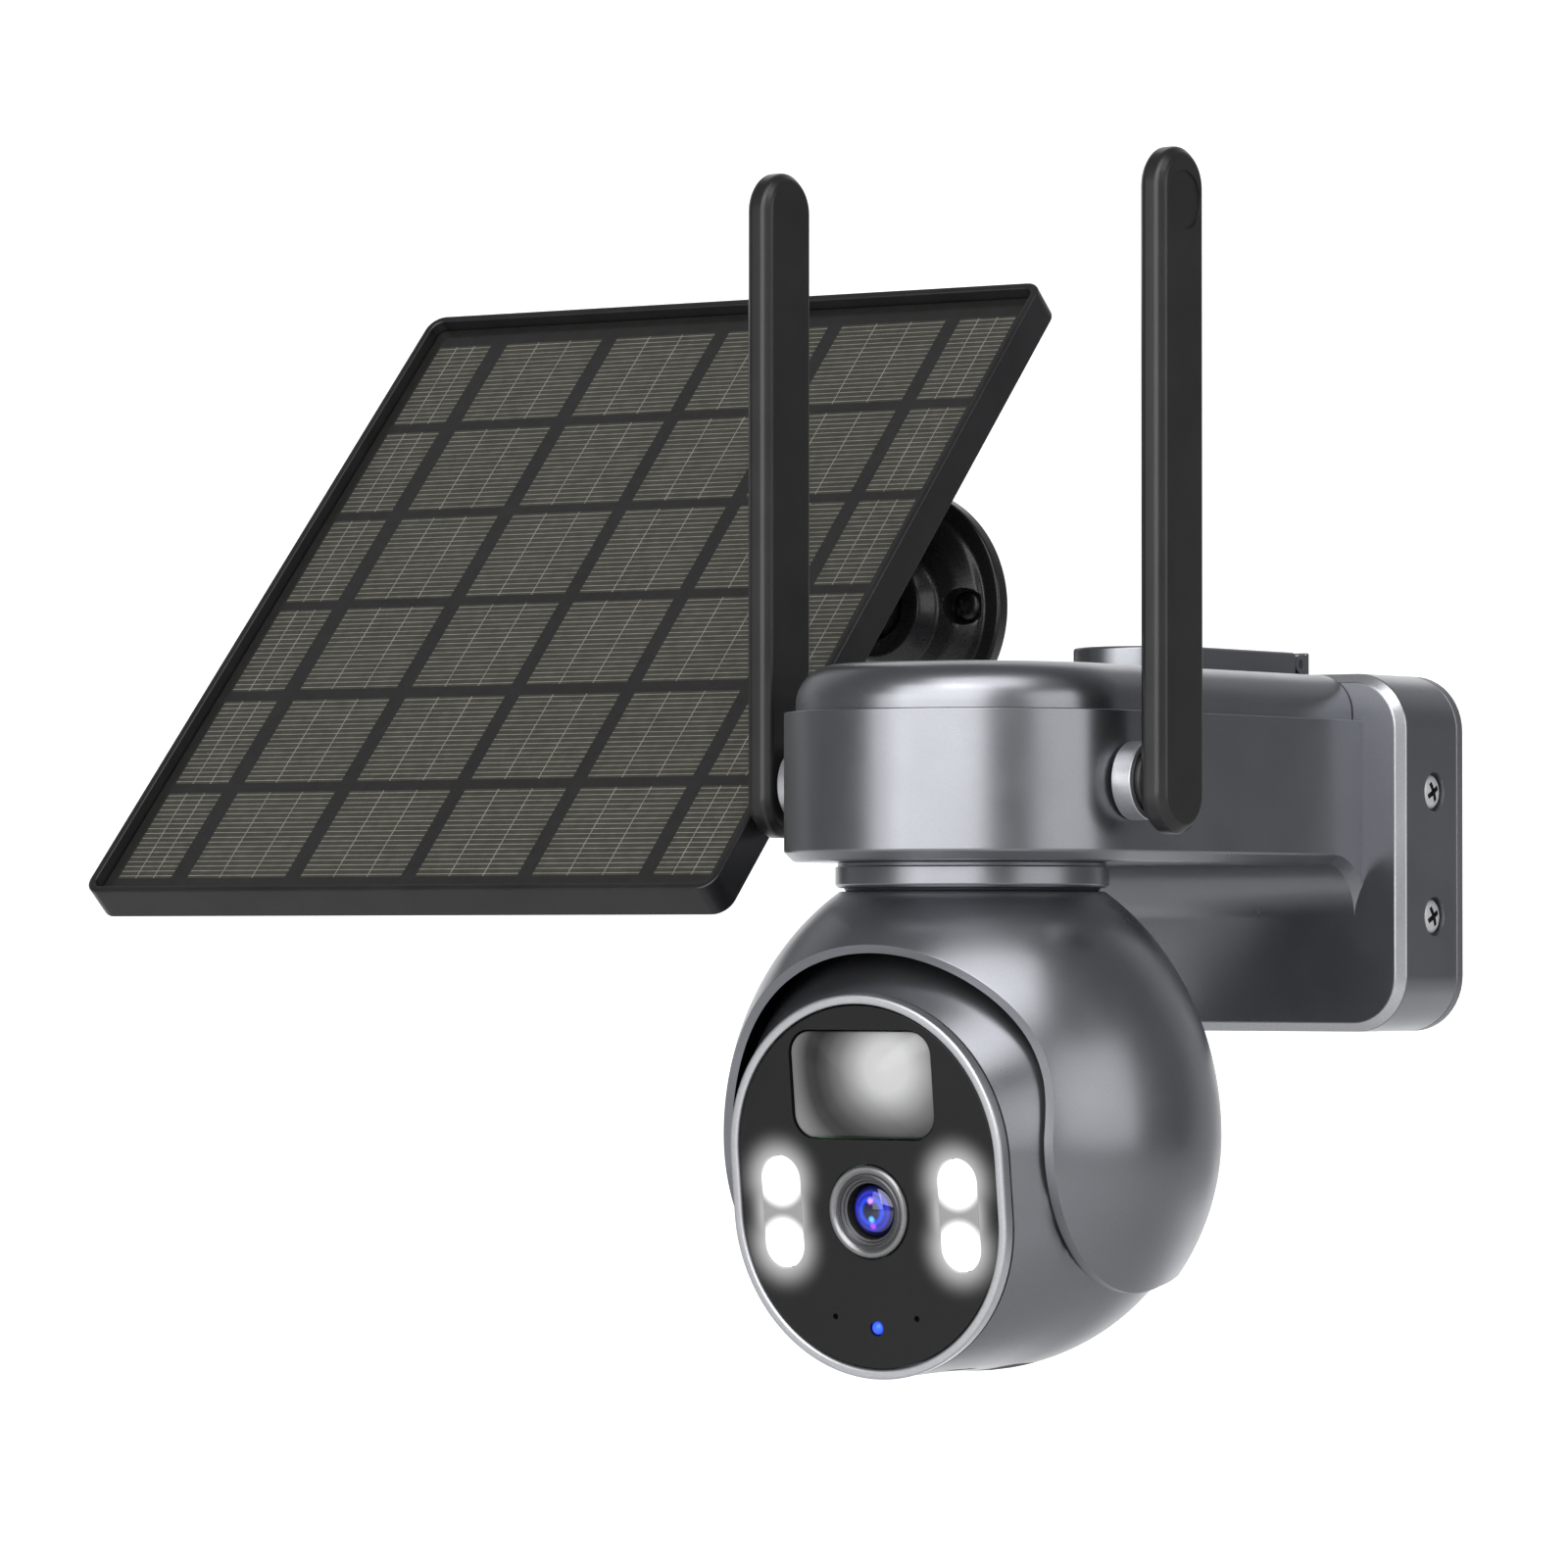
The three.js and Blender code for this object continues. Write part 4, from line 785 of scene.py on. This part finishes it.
def hood_edge(inset, count):
    """Half of the hood's edge loop on the skin at this inset: rear edge, ear, then visor."""
    r, h = HOOD_R - inset, HOOD_H - inset
    ear = [Vector(p) for p in arc(0, 0, EAR_R, 285, 180, 300)]
    rear = ((60.0, -23.2), (49.0, -24.0), (36.0, -25.4), (24.0, -26.9), (15.0, -28.1))
    rear = catmull([Vector(p) for p in rear] + [ear[0], ear[60]], 150)
    visor = ((-EAR_R, -8.0), (-EAR_R, 0.0), (-29.4, 13.0), (-31.2, 24.0), (-36.8, 37.4), (-44.0, 50.0))
    visor = catmull([Vector(p) for p in visor], 200)

    def lifted(line):
        out, outside = [], None
        for y, z in line:
            rest = 1 - (y / r) ** 2 - (z / (h if z > 0 else r)) ** 2
            if rest > 0:
                out.append(Vector((r * math.sqrt(rest), y, z)))
            elif out:
                return out + [Vector((0, y, z))]
            else:
                outside = Vector((0, y, z))
        return [outside] + out if outside else out
    edge = []
    for line, share in ((rear, 0.34), (ear, 0.32), (visor, 0.34)):
        points = lifted(line)
        edge += resampled(points, round(count * share))
    return edge + [points[-1]]


def hood_skin(inset, half_count, steps):
    """Rings from the flat top down to the hood's edge."""
    r, h, top = HOOD_R - inset, HOOD_H - inset, HOOD_TOP - (HOOD_TOP_WALL if inset else 0)
    edge = hood_edge(inset, half_count)
    loop = edge + [Vector((-p.x, p.y, p.z)) for p in reversed(edge[1:-1])]
    n = len(loop)
    top_r = r * math.sqrt(1 - (top / h) ** 2)
    starts = [Vector((top_r * math.sin(t), top_r * math.cos(t), top)) for t in full_turn(n)]

    def unit(p):
        return Vector((p.x / r, p.y / r, p.z / (h if p.z > 0 else r))).normalized()
    rings = []
    for k in range(steps + 1):
        ring = []
        for a, b in zip(starts, loop):
            u = unit(a).slerp(unit(b), k / steps)
            ring.append(Vector((u.x * r, u.y * r, u.z * (h if u.z > 0 else r))))
        rings.append(ring)
    return rings


def hood():
    outer = hood_skin(0, 150, 44)
    inner = hood_skin(HOOD_WALL, 150, 30)
    n = len(outer[0])

    def hole(z):
        return [Vector((NECK_HOLE_R * math.sin(t), NECK_HOLE_R * math.cos(t), z)) for t in full_turn(n)]
    shell = skin([hole(HOOD_TOP)] + outer + inner[::-1] + [hole(HOOD_TOP - HOOD_TOP_WALL)], wrap=True)
    boss_x = HOOD_R - HOOD_WALL - 2
    bosses = [moved(rod(7, -2.6, 2.0, SIDEWAYS, 48), at(side * boss_x, 0, 0)) for side in (-1, 1)]
    moved(shell, HEAD)
    bevelled(shell, "rim", 0.3, 3)
    hood_piece = gathered(shell, *[moved(b, HEAD) for b in bosses])
    finished(hood_piece, "hood_shell", GUNMETAL)


# ---------- camera ball ----------
def face_ring(angle, inset):
    a = FACE_A - inset
    lift = FACE_STRAIGHT if math.sin(angle) >= 0 else -FACE_STRAIGHT
    return a * math.cos(angle), FACE_DROP + lift + a * math.sin(angle)


def ball_body(inset, front, around, rear_steps, front_steps, clearance=True):
    r = BALL_R - inset
    start = math.asin(BALL_BLEND / r)
    turns = [2 * math.pi * (j + 0.5) / around for j in range(around)]
    rings = [[(0, r, 0)]]
    for i in range(1, rear_steps + 1):
        a = -math.pi / 2 + (math.pi / 2 + start) * i / rear_steps
        wide, deep = r * math.cos(a), -r * math.sin(a)
        rings.append([(wide * math.cos(t), deep, wide * math.sin(t)) for t in turns])
    length, slope = front - BALL_BLEND, -BALL_BLEND / (r * math.cos(start))
    for i in range(1, front_steps + 1):
        u = i / front_steps
        weights = (2 * u ** 3 - 3 * u ** 2 + 1, u ** 3 - 2 * u ** 2 + u,
                   3 * u ** 2 - 2 * u ** 3, u ** 3 - u ** 2)
        ring = []
        for t in turns:
            flat = []
            for radial, rim in zip((math.cos(t), math.sin(t)), face_ring(t, inset)):
                begin, lean = r * math.cos(start) * radial, slope * radial * length
                flat.append(weights[0] * begin + weights[1] * lean + weights[2] * rim
                            + weights[3] * (1.5 * (rim - begin) - 0.5 * lean))
            p = Vector((flat[0], -(BALL_BLEND + length * u), flat[1]))
            if clearance:
                beyond = max(math.hypot(p.y, p.z) - EAR_R - 0.6, 0)
                limit = BALL_R + 0.3 + beyond * 0.6 + beyond ** 2
                p *= min(1, limit / p.length)
            ring.append(p)
        rings.append(ring)
    return rings


def face_outline(inset=0):
    return stadium(2 * FACE_A, 2 * (FACE_A + FACE_STRAIGHT), 0, FACE_DROP, 72)(inset)


def ball_shell():
    shell = skin(ball_body(0, BALL_FRONT, 144, 40, 36))
    inner = skin(ball_body(BALL_WALL, BALL_FRONT + 1, 72, 16, 12, False))
    pocket = slab(rounded_rect(26, 20, 4), -60, -30)
    slots = [slab(stadium(1.6, 10, i * 4, -21, 8), -60, -36) for i in range(-2, 3)]
    cut(shell, inner, pocket, *slots)
    for side in (-1, 1):
        cut(shell, moved(rod(9.5, -6, 6, SIDEWAYS, 48), at(side * 46.5, 0, 0)))
        shell = gathered(shell, rod(13, *sorted((side * 39.3, side * 41.5)), SIDEWAYS))
    finished(moved(shell, BALL), "ball_shell", GUNMETAL)

    cover = skin(ball_body(0, BALL_FRONT, 96, 30, 20, False))
    keep(cover, slab(rounded_rect(25.4, 19.4, 3.8), -60, -42))
    grip = slab(stadium(8, 1.6, 0, 5.5, 10), -60, -45.4)
    finished(moved(cut(cover, grip), BALL), "card_cover", RUBBER, edge=0.2)


def on_face(x, z):
    return BALL @ at(x, 0, z)


def face():
    back = BALL_FRONT + 0.3
    rows = soften([(0, back), (0, FACE_FRONT), (FACE_RIM, FACE_FRONT), (FACE_RIM, back)], 0.5, 4, True)
    finished(pressed(face_outline, rows, True, BALL @ FORWARD), "face_bezel", BRIGHT)

    plate = slab(lambda inset=0: face_outline(FACE_RIM + 0.3 + inset), back, 37.4, 0, 0.15, FORWARD)
    through = [(0, 30), (0, 45)]
    window = rounded_rect(PIR_W + 0.8, PIR_H + 0.8, PIR_CORNER + 0.4, 0, PIR_Z)
    holes = [pressed(circle(LENS_R + 0.3, 0, LENS_Z, 96), through, basis=FORWARD),
             pressed(window, through, basis=FORWARD),
             pressed(circle(1.55, 0, STATUS_Z, 32), through, basis=FORWARD)]
    middle = sum(LED_Z) / 2
    for side in (-1, 1):
        holes.append(pressed(stadium(9.6, 22.3, side * LED_X, middle), through, basis=FORWARD))
        holes.append(pressed(circle(MIC_R, side * MIC_X, MIC_Z, 24), through, basis=FORWARD))
    finished(moved(cut(plate, *holes), BALL), "face_plate", FACE_BLACK, edge=0.12)

    outline = rounded_rect(PIR_W, PIR_H, PIR_CORNER, n=12)()
    rings = [[(x, z, n) for x, z in outline] for n in (34.6, 36.9)]
    for k in range(1, 15):
        s = 1 - k / 14.5
        rings.append([(x * s, z * s, 37.1 + 2.2 * (1 - s ** 2.2)) for x, z in outline])
    finished(skin(rings, basis=on_face(0, PIR_Z) @ FORWARD), "pir_lens", FROSTED, angle=50)

    profile = [(0, 29), (8, 29), (8, 33), (LENS_R, 33), (LENS_R, 37.8), (8.7, 38.2), (8.0, 38.2),
               (7.5, 37.85), (7.35, 37.6), (7.1, 37.6), (6.9, 37.75), (6.7, 37.75), (6.6, 37.3),
               (6.1, 37.3), (5.95, 36.9), (5.5, 36.9), (5.5, 31), (0, 31)]
    barrel = turned(soften(profile, 0.14, 3), on_face(0, LENS_Z) @ FORWARD, 96)
    axis_point = BALL @ Vector((0, 0, LENS_Z))
    tinted(barrel, 1, lambda c, n: (c - axis_point).cross(BALL.to_3x3() @ Vector((0, -1, 0))).length < 7.45)
    finished(barrel, "lens_barrel", LENS_METAL, LENS_DARK)

    profile = [(0, 31.3), (GLASS_R, 31.3)] + domed(GLASS_R, 35.1, 1.7, 14) + [(0, 36.8)]
    glass = turned(profile, on_face(0, LENS_Z) @ FORWARD, 72)
    finished(glass, "lens_glass", GLASS)

    for side, label in ((-1, "left"), (1, "right")):
        pane = slab(stadium(9.2, 21.9, side * LED_X, middle), 35.6, 37.2, 0.2, 0.4, BALL @ FORWARD)
        finished(pane, f"led_window_{label}", WINDOW)
        strip = slab(stadium(7, 20, side * LED_X, middle), 29, 30.2, 0.2, 0.2, BALL @ FORWARD)
        lamps = []
        for z in LED_Z:
            profile = [(0, 29.5), (LED_R, 29.5)] + domed(LED_R, 33.4, 1.8, 10) + [(0, 35.2)]
            lamps.append(turned(profile, on_face(side * LED_X, z) @ FORWARD, 40))
        finished(gathered(strip, *lamps), f"led_strip_{label}", LED_WHITE)

    dot = [(0, 29), (1.3, 29)] + domed(1.3, 36.7, 1, 8) + [(0, 37.7)]
    finished(turned(dot, on_face(0, STATUS_Z) @ FORWARD, 32), "status_led", STATUS_BLUE)


# ---------- solar base, arm and panel ----------
def solar_base():
    profile = [(0, 0), (26, 0), (26, 4), (22.4, 4), (21.6, 5.2), (17.5, 7.6), (13.4, 9.0),
               (12.0, 11.6), (11, 13), (6.6, 13), (6.6, 6), (0, 6)]
    base = moved(turned(soften(profile, 0.9, 4), FORWARD, 96), Matrix.Translation(SOLAR_BASE))
    low, high = span("solar_base_screw_1")
    radius = (low.x + high.x) / 2 - SOLAR_BASE.x
    tools = []
    for number, turn in enumerate((0, 120, 240), 1):
        x = SOLAR_BASE.x + radius * math.cos(math.radians(turn))
        z = SOLAR_BASE.z + radius * math.sin(math.radians(turn))
        tools.append(moved(rod(4, 4.6, 20, FORWARD, 40), at(x, 0, z)))
        tools.append(moved(rod(1.9, -1, 10, FORWARD, 20), at(x, 0, z)))
        one = moved(screw(3.2, 1.6, 1.6, 4.2), at(x, -4.7, z) @ FORWARD @ Matrix.Rotation(0.5, 4, "Z"))
        finished(one, f"solar_base_screw_{number}", DARK_STEEL, SHADOW)
    finished(cut(base, *tools), "solar_base", BRACKET_BLACK, edge=0.2)


def solar_arm():
    a, d = Vector((SOLAR_BASE.x, -10, SOLAR_BASE.z)), PANEL_PIVOT + Vector((0, 4, 0))
    b, c = a + Vector((0, -25, 0)), d + Vector((0, 22, 0))
    path = [a * (1 - t) ** 3 + b * (3 * t * (1 - t) ** 2) + c * (3 * t * t * (1 - t)) + d * t ** 3
            for t in (k / 48 for k in range(49))]
    bar = swept(path, 6.2, 40)
    place = Matrix.Translation(PANEL_PIVOT)
    lug = moved(rod(7, -4, 4, SIDEWAYS, 56), place)
    tools = [moved(rod(2.7, -10, 10, SIDEWAYS, 32), place)]
    tools += [moved(rod(8, *ends, SIDEWAYS, 56), place) for ends in ((4, 13), (-13, -4))]
    finished(cut(join(bar, lug), *tools), "solar_arm", BRACKET_BLACK, edge=0.3)

    shank = rod(2.5, -12.4, 12.6, SIDEWAYS, 32)
    head = slab(circle(4.4, n=6), -15.5, -12.2, 0.3, 0.3, SIDEWAYS)
    finished(moved(gathered(shank, head), place), "pivot_bolt", STEEL, edge=0.15)

    knob = slab(circle(7), 0, 7, 0.6, 1.2)
    lobes = [slab(circle(2.6, 6.4 * math.cos(t), 6.4 * math.sin(t), 24), 0, 7, 0.5, 1.0)
             for t in full_turn(5)]
    join(knob, *lobes)
    cut(knob, rod(2.7, -1, 5, n=24))
    finished(moved(moved(knob, SIDEWAYS), place @ at(8.2, 0, 0)), "pivot_knob", BLACK, edge=0.25)


def panel_shape(margin, r=4.0):
    return rounded_rect(PANEL_W - 2 * margin, PANEL_H - 2 * margin, max(r - margin, 0.8), n=8)


def panel():
    rows = [(0, 0), (PANEL_WALL, 0), (PANEL_WALL, PANEL_BED), (PANEL_LEDGE, PANEL_BED),
            (PANEL_LEDGE, -PANEL_THICK), (0, -PANEL_THICK)]
    rows = soften(rows, 0.55, 3, True)
    finished(pressed(panel_shape(0), rows, True, PANEL @ FORWARD), "panel_frame", FRAME_BLACK)
    back_plate = slab(panel_shape(PANEL_LEDGE + 0.3), 0.2 - PANEL_THICK, PANEL_BED, 0.2, 0.1, FORWARD)
    grooves = [slab(rounded_rect(PANEL_W - 24, 1.6, 0.5, 0, z, 3), -PANEL_THICK - 1, -PANEL_THICK + 0.7,
                    basis=FORWARD) for z in (-74, -62, 50, 62, 74)]
    finished(moved(cut(back_plate, *grooves), PANEL), "panel_back", BLACK, edge=0.15)

    sheet = slab(panel_shape(PANEL_WALL + 0.3), -5.2, PANEL_GLASS, 0.1, 0.1, FORWARD)
    parts = [sheet]

    def patch(x0, x1, z0, z1, height, index):
        flat = [(x0, z0, height), (x1, z0, height), (x1, z1, height), (x0, z1, height)]
        bm = bmesh.new()
        face = bm.faces.new([bm.verts.new(FORWARD @ Vector(p)) for p in flat])
        face.material_index = index
        parts.append(solid(bm))
    for left, right in stripes(COLUMN_START, COLUMN_WIDTHS, COLUMN_GAPS):
        x0, x1 = left - PANEL_W / 2, right - PANEL_W / 2
        for above, below in stripes(ROW_START, ROW_HEIGHTS, ROW_GAPS):
            z0, z1 = PANEL_H / 2 - below, PANEL_H / 2 - above
            patch(x0, x1, z0, z1, PANEL_GLASS + 0.02, 1)
            for k in range(18):
                z = z0 + (z1 - z0) * (k + 0.5) / 18
                patch(x0, x1, z - 0.1, z + 0.1, PANEL_GLASS + 0.03, 2)
            for t in (1 / 3, 2 / 3):
                x = x0 + (x1 - x0) * t
                patch(x - 0.12, x + 0.12, z0, z1, PANEL_GLASS + 0.04, 2)
    laminate = gathered(*parts)
    finished(moved(laminate, PANEL), "solar_laminate", BACKING, CELL, FINGER)

    back = PANEL_THICK + 0.1
    plate = slab(rounded_rect(34, 44, 5), -back - 3, -back, 0.5, 0, FORWARD)
    side = [(back - 0.5 + 0.6, -14), (back + 0.1, 14), (PANEL_BACK, 7)]
    side += arc(PANEL_BACK, 0, 7, 90, -90, 24)
    ears = [pressed(lambda inset: side, [(0, x0), (0, x1)], basis=SIDEWAYS)
            for x0, x1 in ((4.3, 7.9), (-7.9, -4.3))]
    bracket = cut(join(plate, *ears), moved(rod(2.7, -20, 20, SIDEWAYS, 32), at(0, PANEL_BACK, 0)))
    finished(moved(bracket, PANEL), "panel_bracket", BRACKET_BLACK, edge=0.35)

    junction = slab(rounded_rect(34, 24, 3, 0, -46), -back - 9, -back, 1.0, 0, FORWARD)
    finished(moved(junction, PANEL), "junction_box", BLACK)
    gland = [(0, -58.3), (4.2, -58.3), (4.2, -62), (3.4, -62.6), (3.2, -64), (3.5, -64.4),
             (3.2, -64.9), (3.2, -66), (3.4, -66.4), (2.9, -67), (2.9, -69), (1.8, -69),
             (1.8, -60), (0, -60)]
    finished(moved(turned(soften(gland, 0.2, 2), n=40), PANEL @ at(0, back + 4.8, 0)), "cable_gland", RUBBER)


def inlet():
    low = -BOX_HALF[1]
    profile = [(0, low + 4.8), (4, low + 4.8), (4, low - 0.1), (6.5, low - 0.1), (6.5, low - 2.6),
               (5.6, low - 3.4), (5.6, low - 8), (2.5, low - 8), (2.5, low + 3), (0.9, low + 3),
               (0.9, low - 5), (0, low - 5)]
    socket = turned(soften(profile, 0.2, 2), n=40)
    finished(moved(socket, at(INLET_X, INLET_Y, 0)), "solar_inlet", BLACK)


wall_plate()
arm_housing()
top_cover()
hatch()
antenna(-1, "left")
antenna(1, "right")
hood()
ball_shell()
face()
solar_base()
solar_arm()
panel()
inlet()

# CAD nodes that stay take the finish of their slot.
KEPT = {"steel": STEEL, "black_plastic": BLACK, "rubber": RUBBER, "circuit_board": BOARD,
        "battery_wrap": WRAP}
for node, obj in frame["nodes"].items():
    paint = KEPT.get(SLOT_OF[node])
    if paint:
        for place in obj.material_slots:
            place.material = paint


# ---------- studio ----------
CAMERA_AT = Vector((0.85846, -1.40267, -0.01973))
TARGET = Vector((-0.03038, -0.13327, 0.01287))
TO_CAMERA = Vector((CAMERA_AT.x - TARGET.x, CAMERA_AT.y - TARGET.y, 0)).normalized()
RIGHT = Vector((-TO_CAMERA.y, TO_CAMERA.x, 0))
FLOOR_Z = -0.6
FLOOR_GLOW = 0.9
FOCAL_LENGTH, SENSOR_WIDTH = 180.59, 36


def stage_paint():
    """Pale paint that glows strongly behind the object, where the camera looks, and faintly elsewhere."""
    paint = Paint("studio_floor", (0.62, 0.62, 0.62), 0.7, 0.0)
    paint.blend(paint.range(paint.noise(0.002, 2.0), 0, 1), (0.60, 0.60, 0.605), (0.64, 0.64, 0.64))
    reach = []
    for axis, full, none in ((TO_CAMERA, -1.6, -0.2), (RIGHT, 1.1, 2.6)):
        along = paint.node("ShaderNodeVectorMath", operation="DOT_PRODUCT")
        paint.link(paint.position, along.inputs[0])
        along.inputs[1].default_value = axis
        offset = paint.math("SUBTRACT", along.outputs["Value"], TARGET.dot(axis) / MM)
        if axis is RIGHT:
            offset = paint.math("ABSOLUTE", offset)
        reach.append(paint.range(offset, 1.0, 0.0, full / MM, none / MM, True))
    paint.set("Emission Color", (1.0, 1.0, 1.0, 1))
    glow = paint.math("MULTIPLY", paint.math("MULTIPLY", *reach), FLOOR_GLOW)
    around = paint.range(paint.distance(TARGET / MM), 0.0, 0.22, 1000, 2800, True)
    paint.link(paint.math("MAXIMUM", glow, around), paint.shader.inputs["Emission Strength"])
    return paint.material


def backdrop():
    line = [(4.0, 0.0), (-2.4, 0.0)]
    bend = [math.pi / 2 * k / 24 for k in range(1, 25)]
    line += [(-2.4 - 1.6 * math.sin(t), 1.6 - 1.6 * math.cos(t)) for t in bend]
    line.append((-4.0, 6.0))
    bm = bmesh.new()
    below = Vector((TARGET.x, TARGET.y, FLOOR_Z))
    rows = [[bm.verts.new(below + RIGHT * s + TO_CAMERA * f + Vector((0, 0, u))) for s in (-6, 6)]
            for f, u in line]
    for a, b in zip(rows, rows[1:]):
        bm.faces.new((a[0], a[1], b[1], b[0]))
    obj = solid(bm)
    obj.name = "backdrop"
    obj.data.shade_smooth()
    obj.data.materials.clear()
    obj.data.materials.append(stage_paint())


def softbox(name, right, forward, up, width, height, power):
    light = bpy.data.lights.new(name, "AREA")
    light.shape, light.size, light.size_y, light.energy = "RECTANGLE", width, height, power
    obj = bpy.data.objects.new(name, light)
    place = TARGET + RIGHT * right + TO_CAMERA * forward + Vector((0, 0, up))
    obj.location = place
    obj.visible_camera = False
    obj.rotation_euler = (TARGET - place).to_track_quat("-Z", "Y").to_euler()
    bpy.context.scene.collection.objects.link(obj)


def studio():
    backdrop()
    softbox("key", -0.70, 1.92, 0.80, 2.5, 2.1, 50)
    softbox("upper", 0.17, 1.26, 1.78, 2.0, 1.2, 20)
    softbox("right_fill", 1.85, 1.15, 0.40, 1.8, 1.2, 10)
    softbox("left_edge", -1.80, 1.26, 0.15, 0.8, 1.3, 6)
    world = bpy.data.worlds.new("studio")
    world.use_nodes = True
    background = world.node_tree.nodes["Background"]
    background.inputs["Color"].default_value = (0.95, 0.96, 1.0, 1)
    seen = world.node_tree.nodes.new("ShaderNodeLightPath")
    strength = world.node_tree.nodes.new("ShaderNodeMapRange")
    strength.inputs["To Min"].default_value, strength.inputs["To Max"].default_value = 0.16, 0.97
    world.node_tree.links.new(seen.outputs["Is Camera Ray"], strength.inputs["Value"])
    world.node_tree.links.new(strength.outputs["Result"], background.inputs["Strength"])
    bpy.context.scene.world = world
    bpy.context.scene.view_settings.view_transform = "Standard"

    camera = bpy.data.cameras.new("camera")
    camera.lens, camera.sensor_width, camera.clip_end = FOCAL_LENGTH, SENSOR_WIDTH, 30
    obj = bpy.data.objects.new("camera", camera)
    obj.location = CAMERA_AT
    obj.rotation_euler = (TARGET - CAMERA_AT).to_track_quat("-Z", "Y").to_euler()
    bpy.context.scene.collection.objects.link(obj)
    bpy.context.scene.camera = obj


studio()
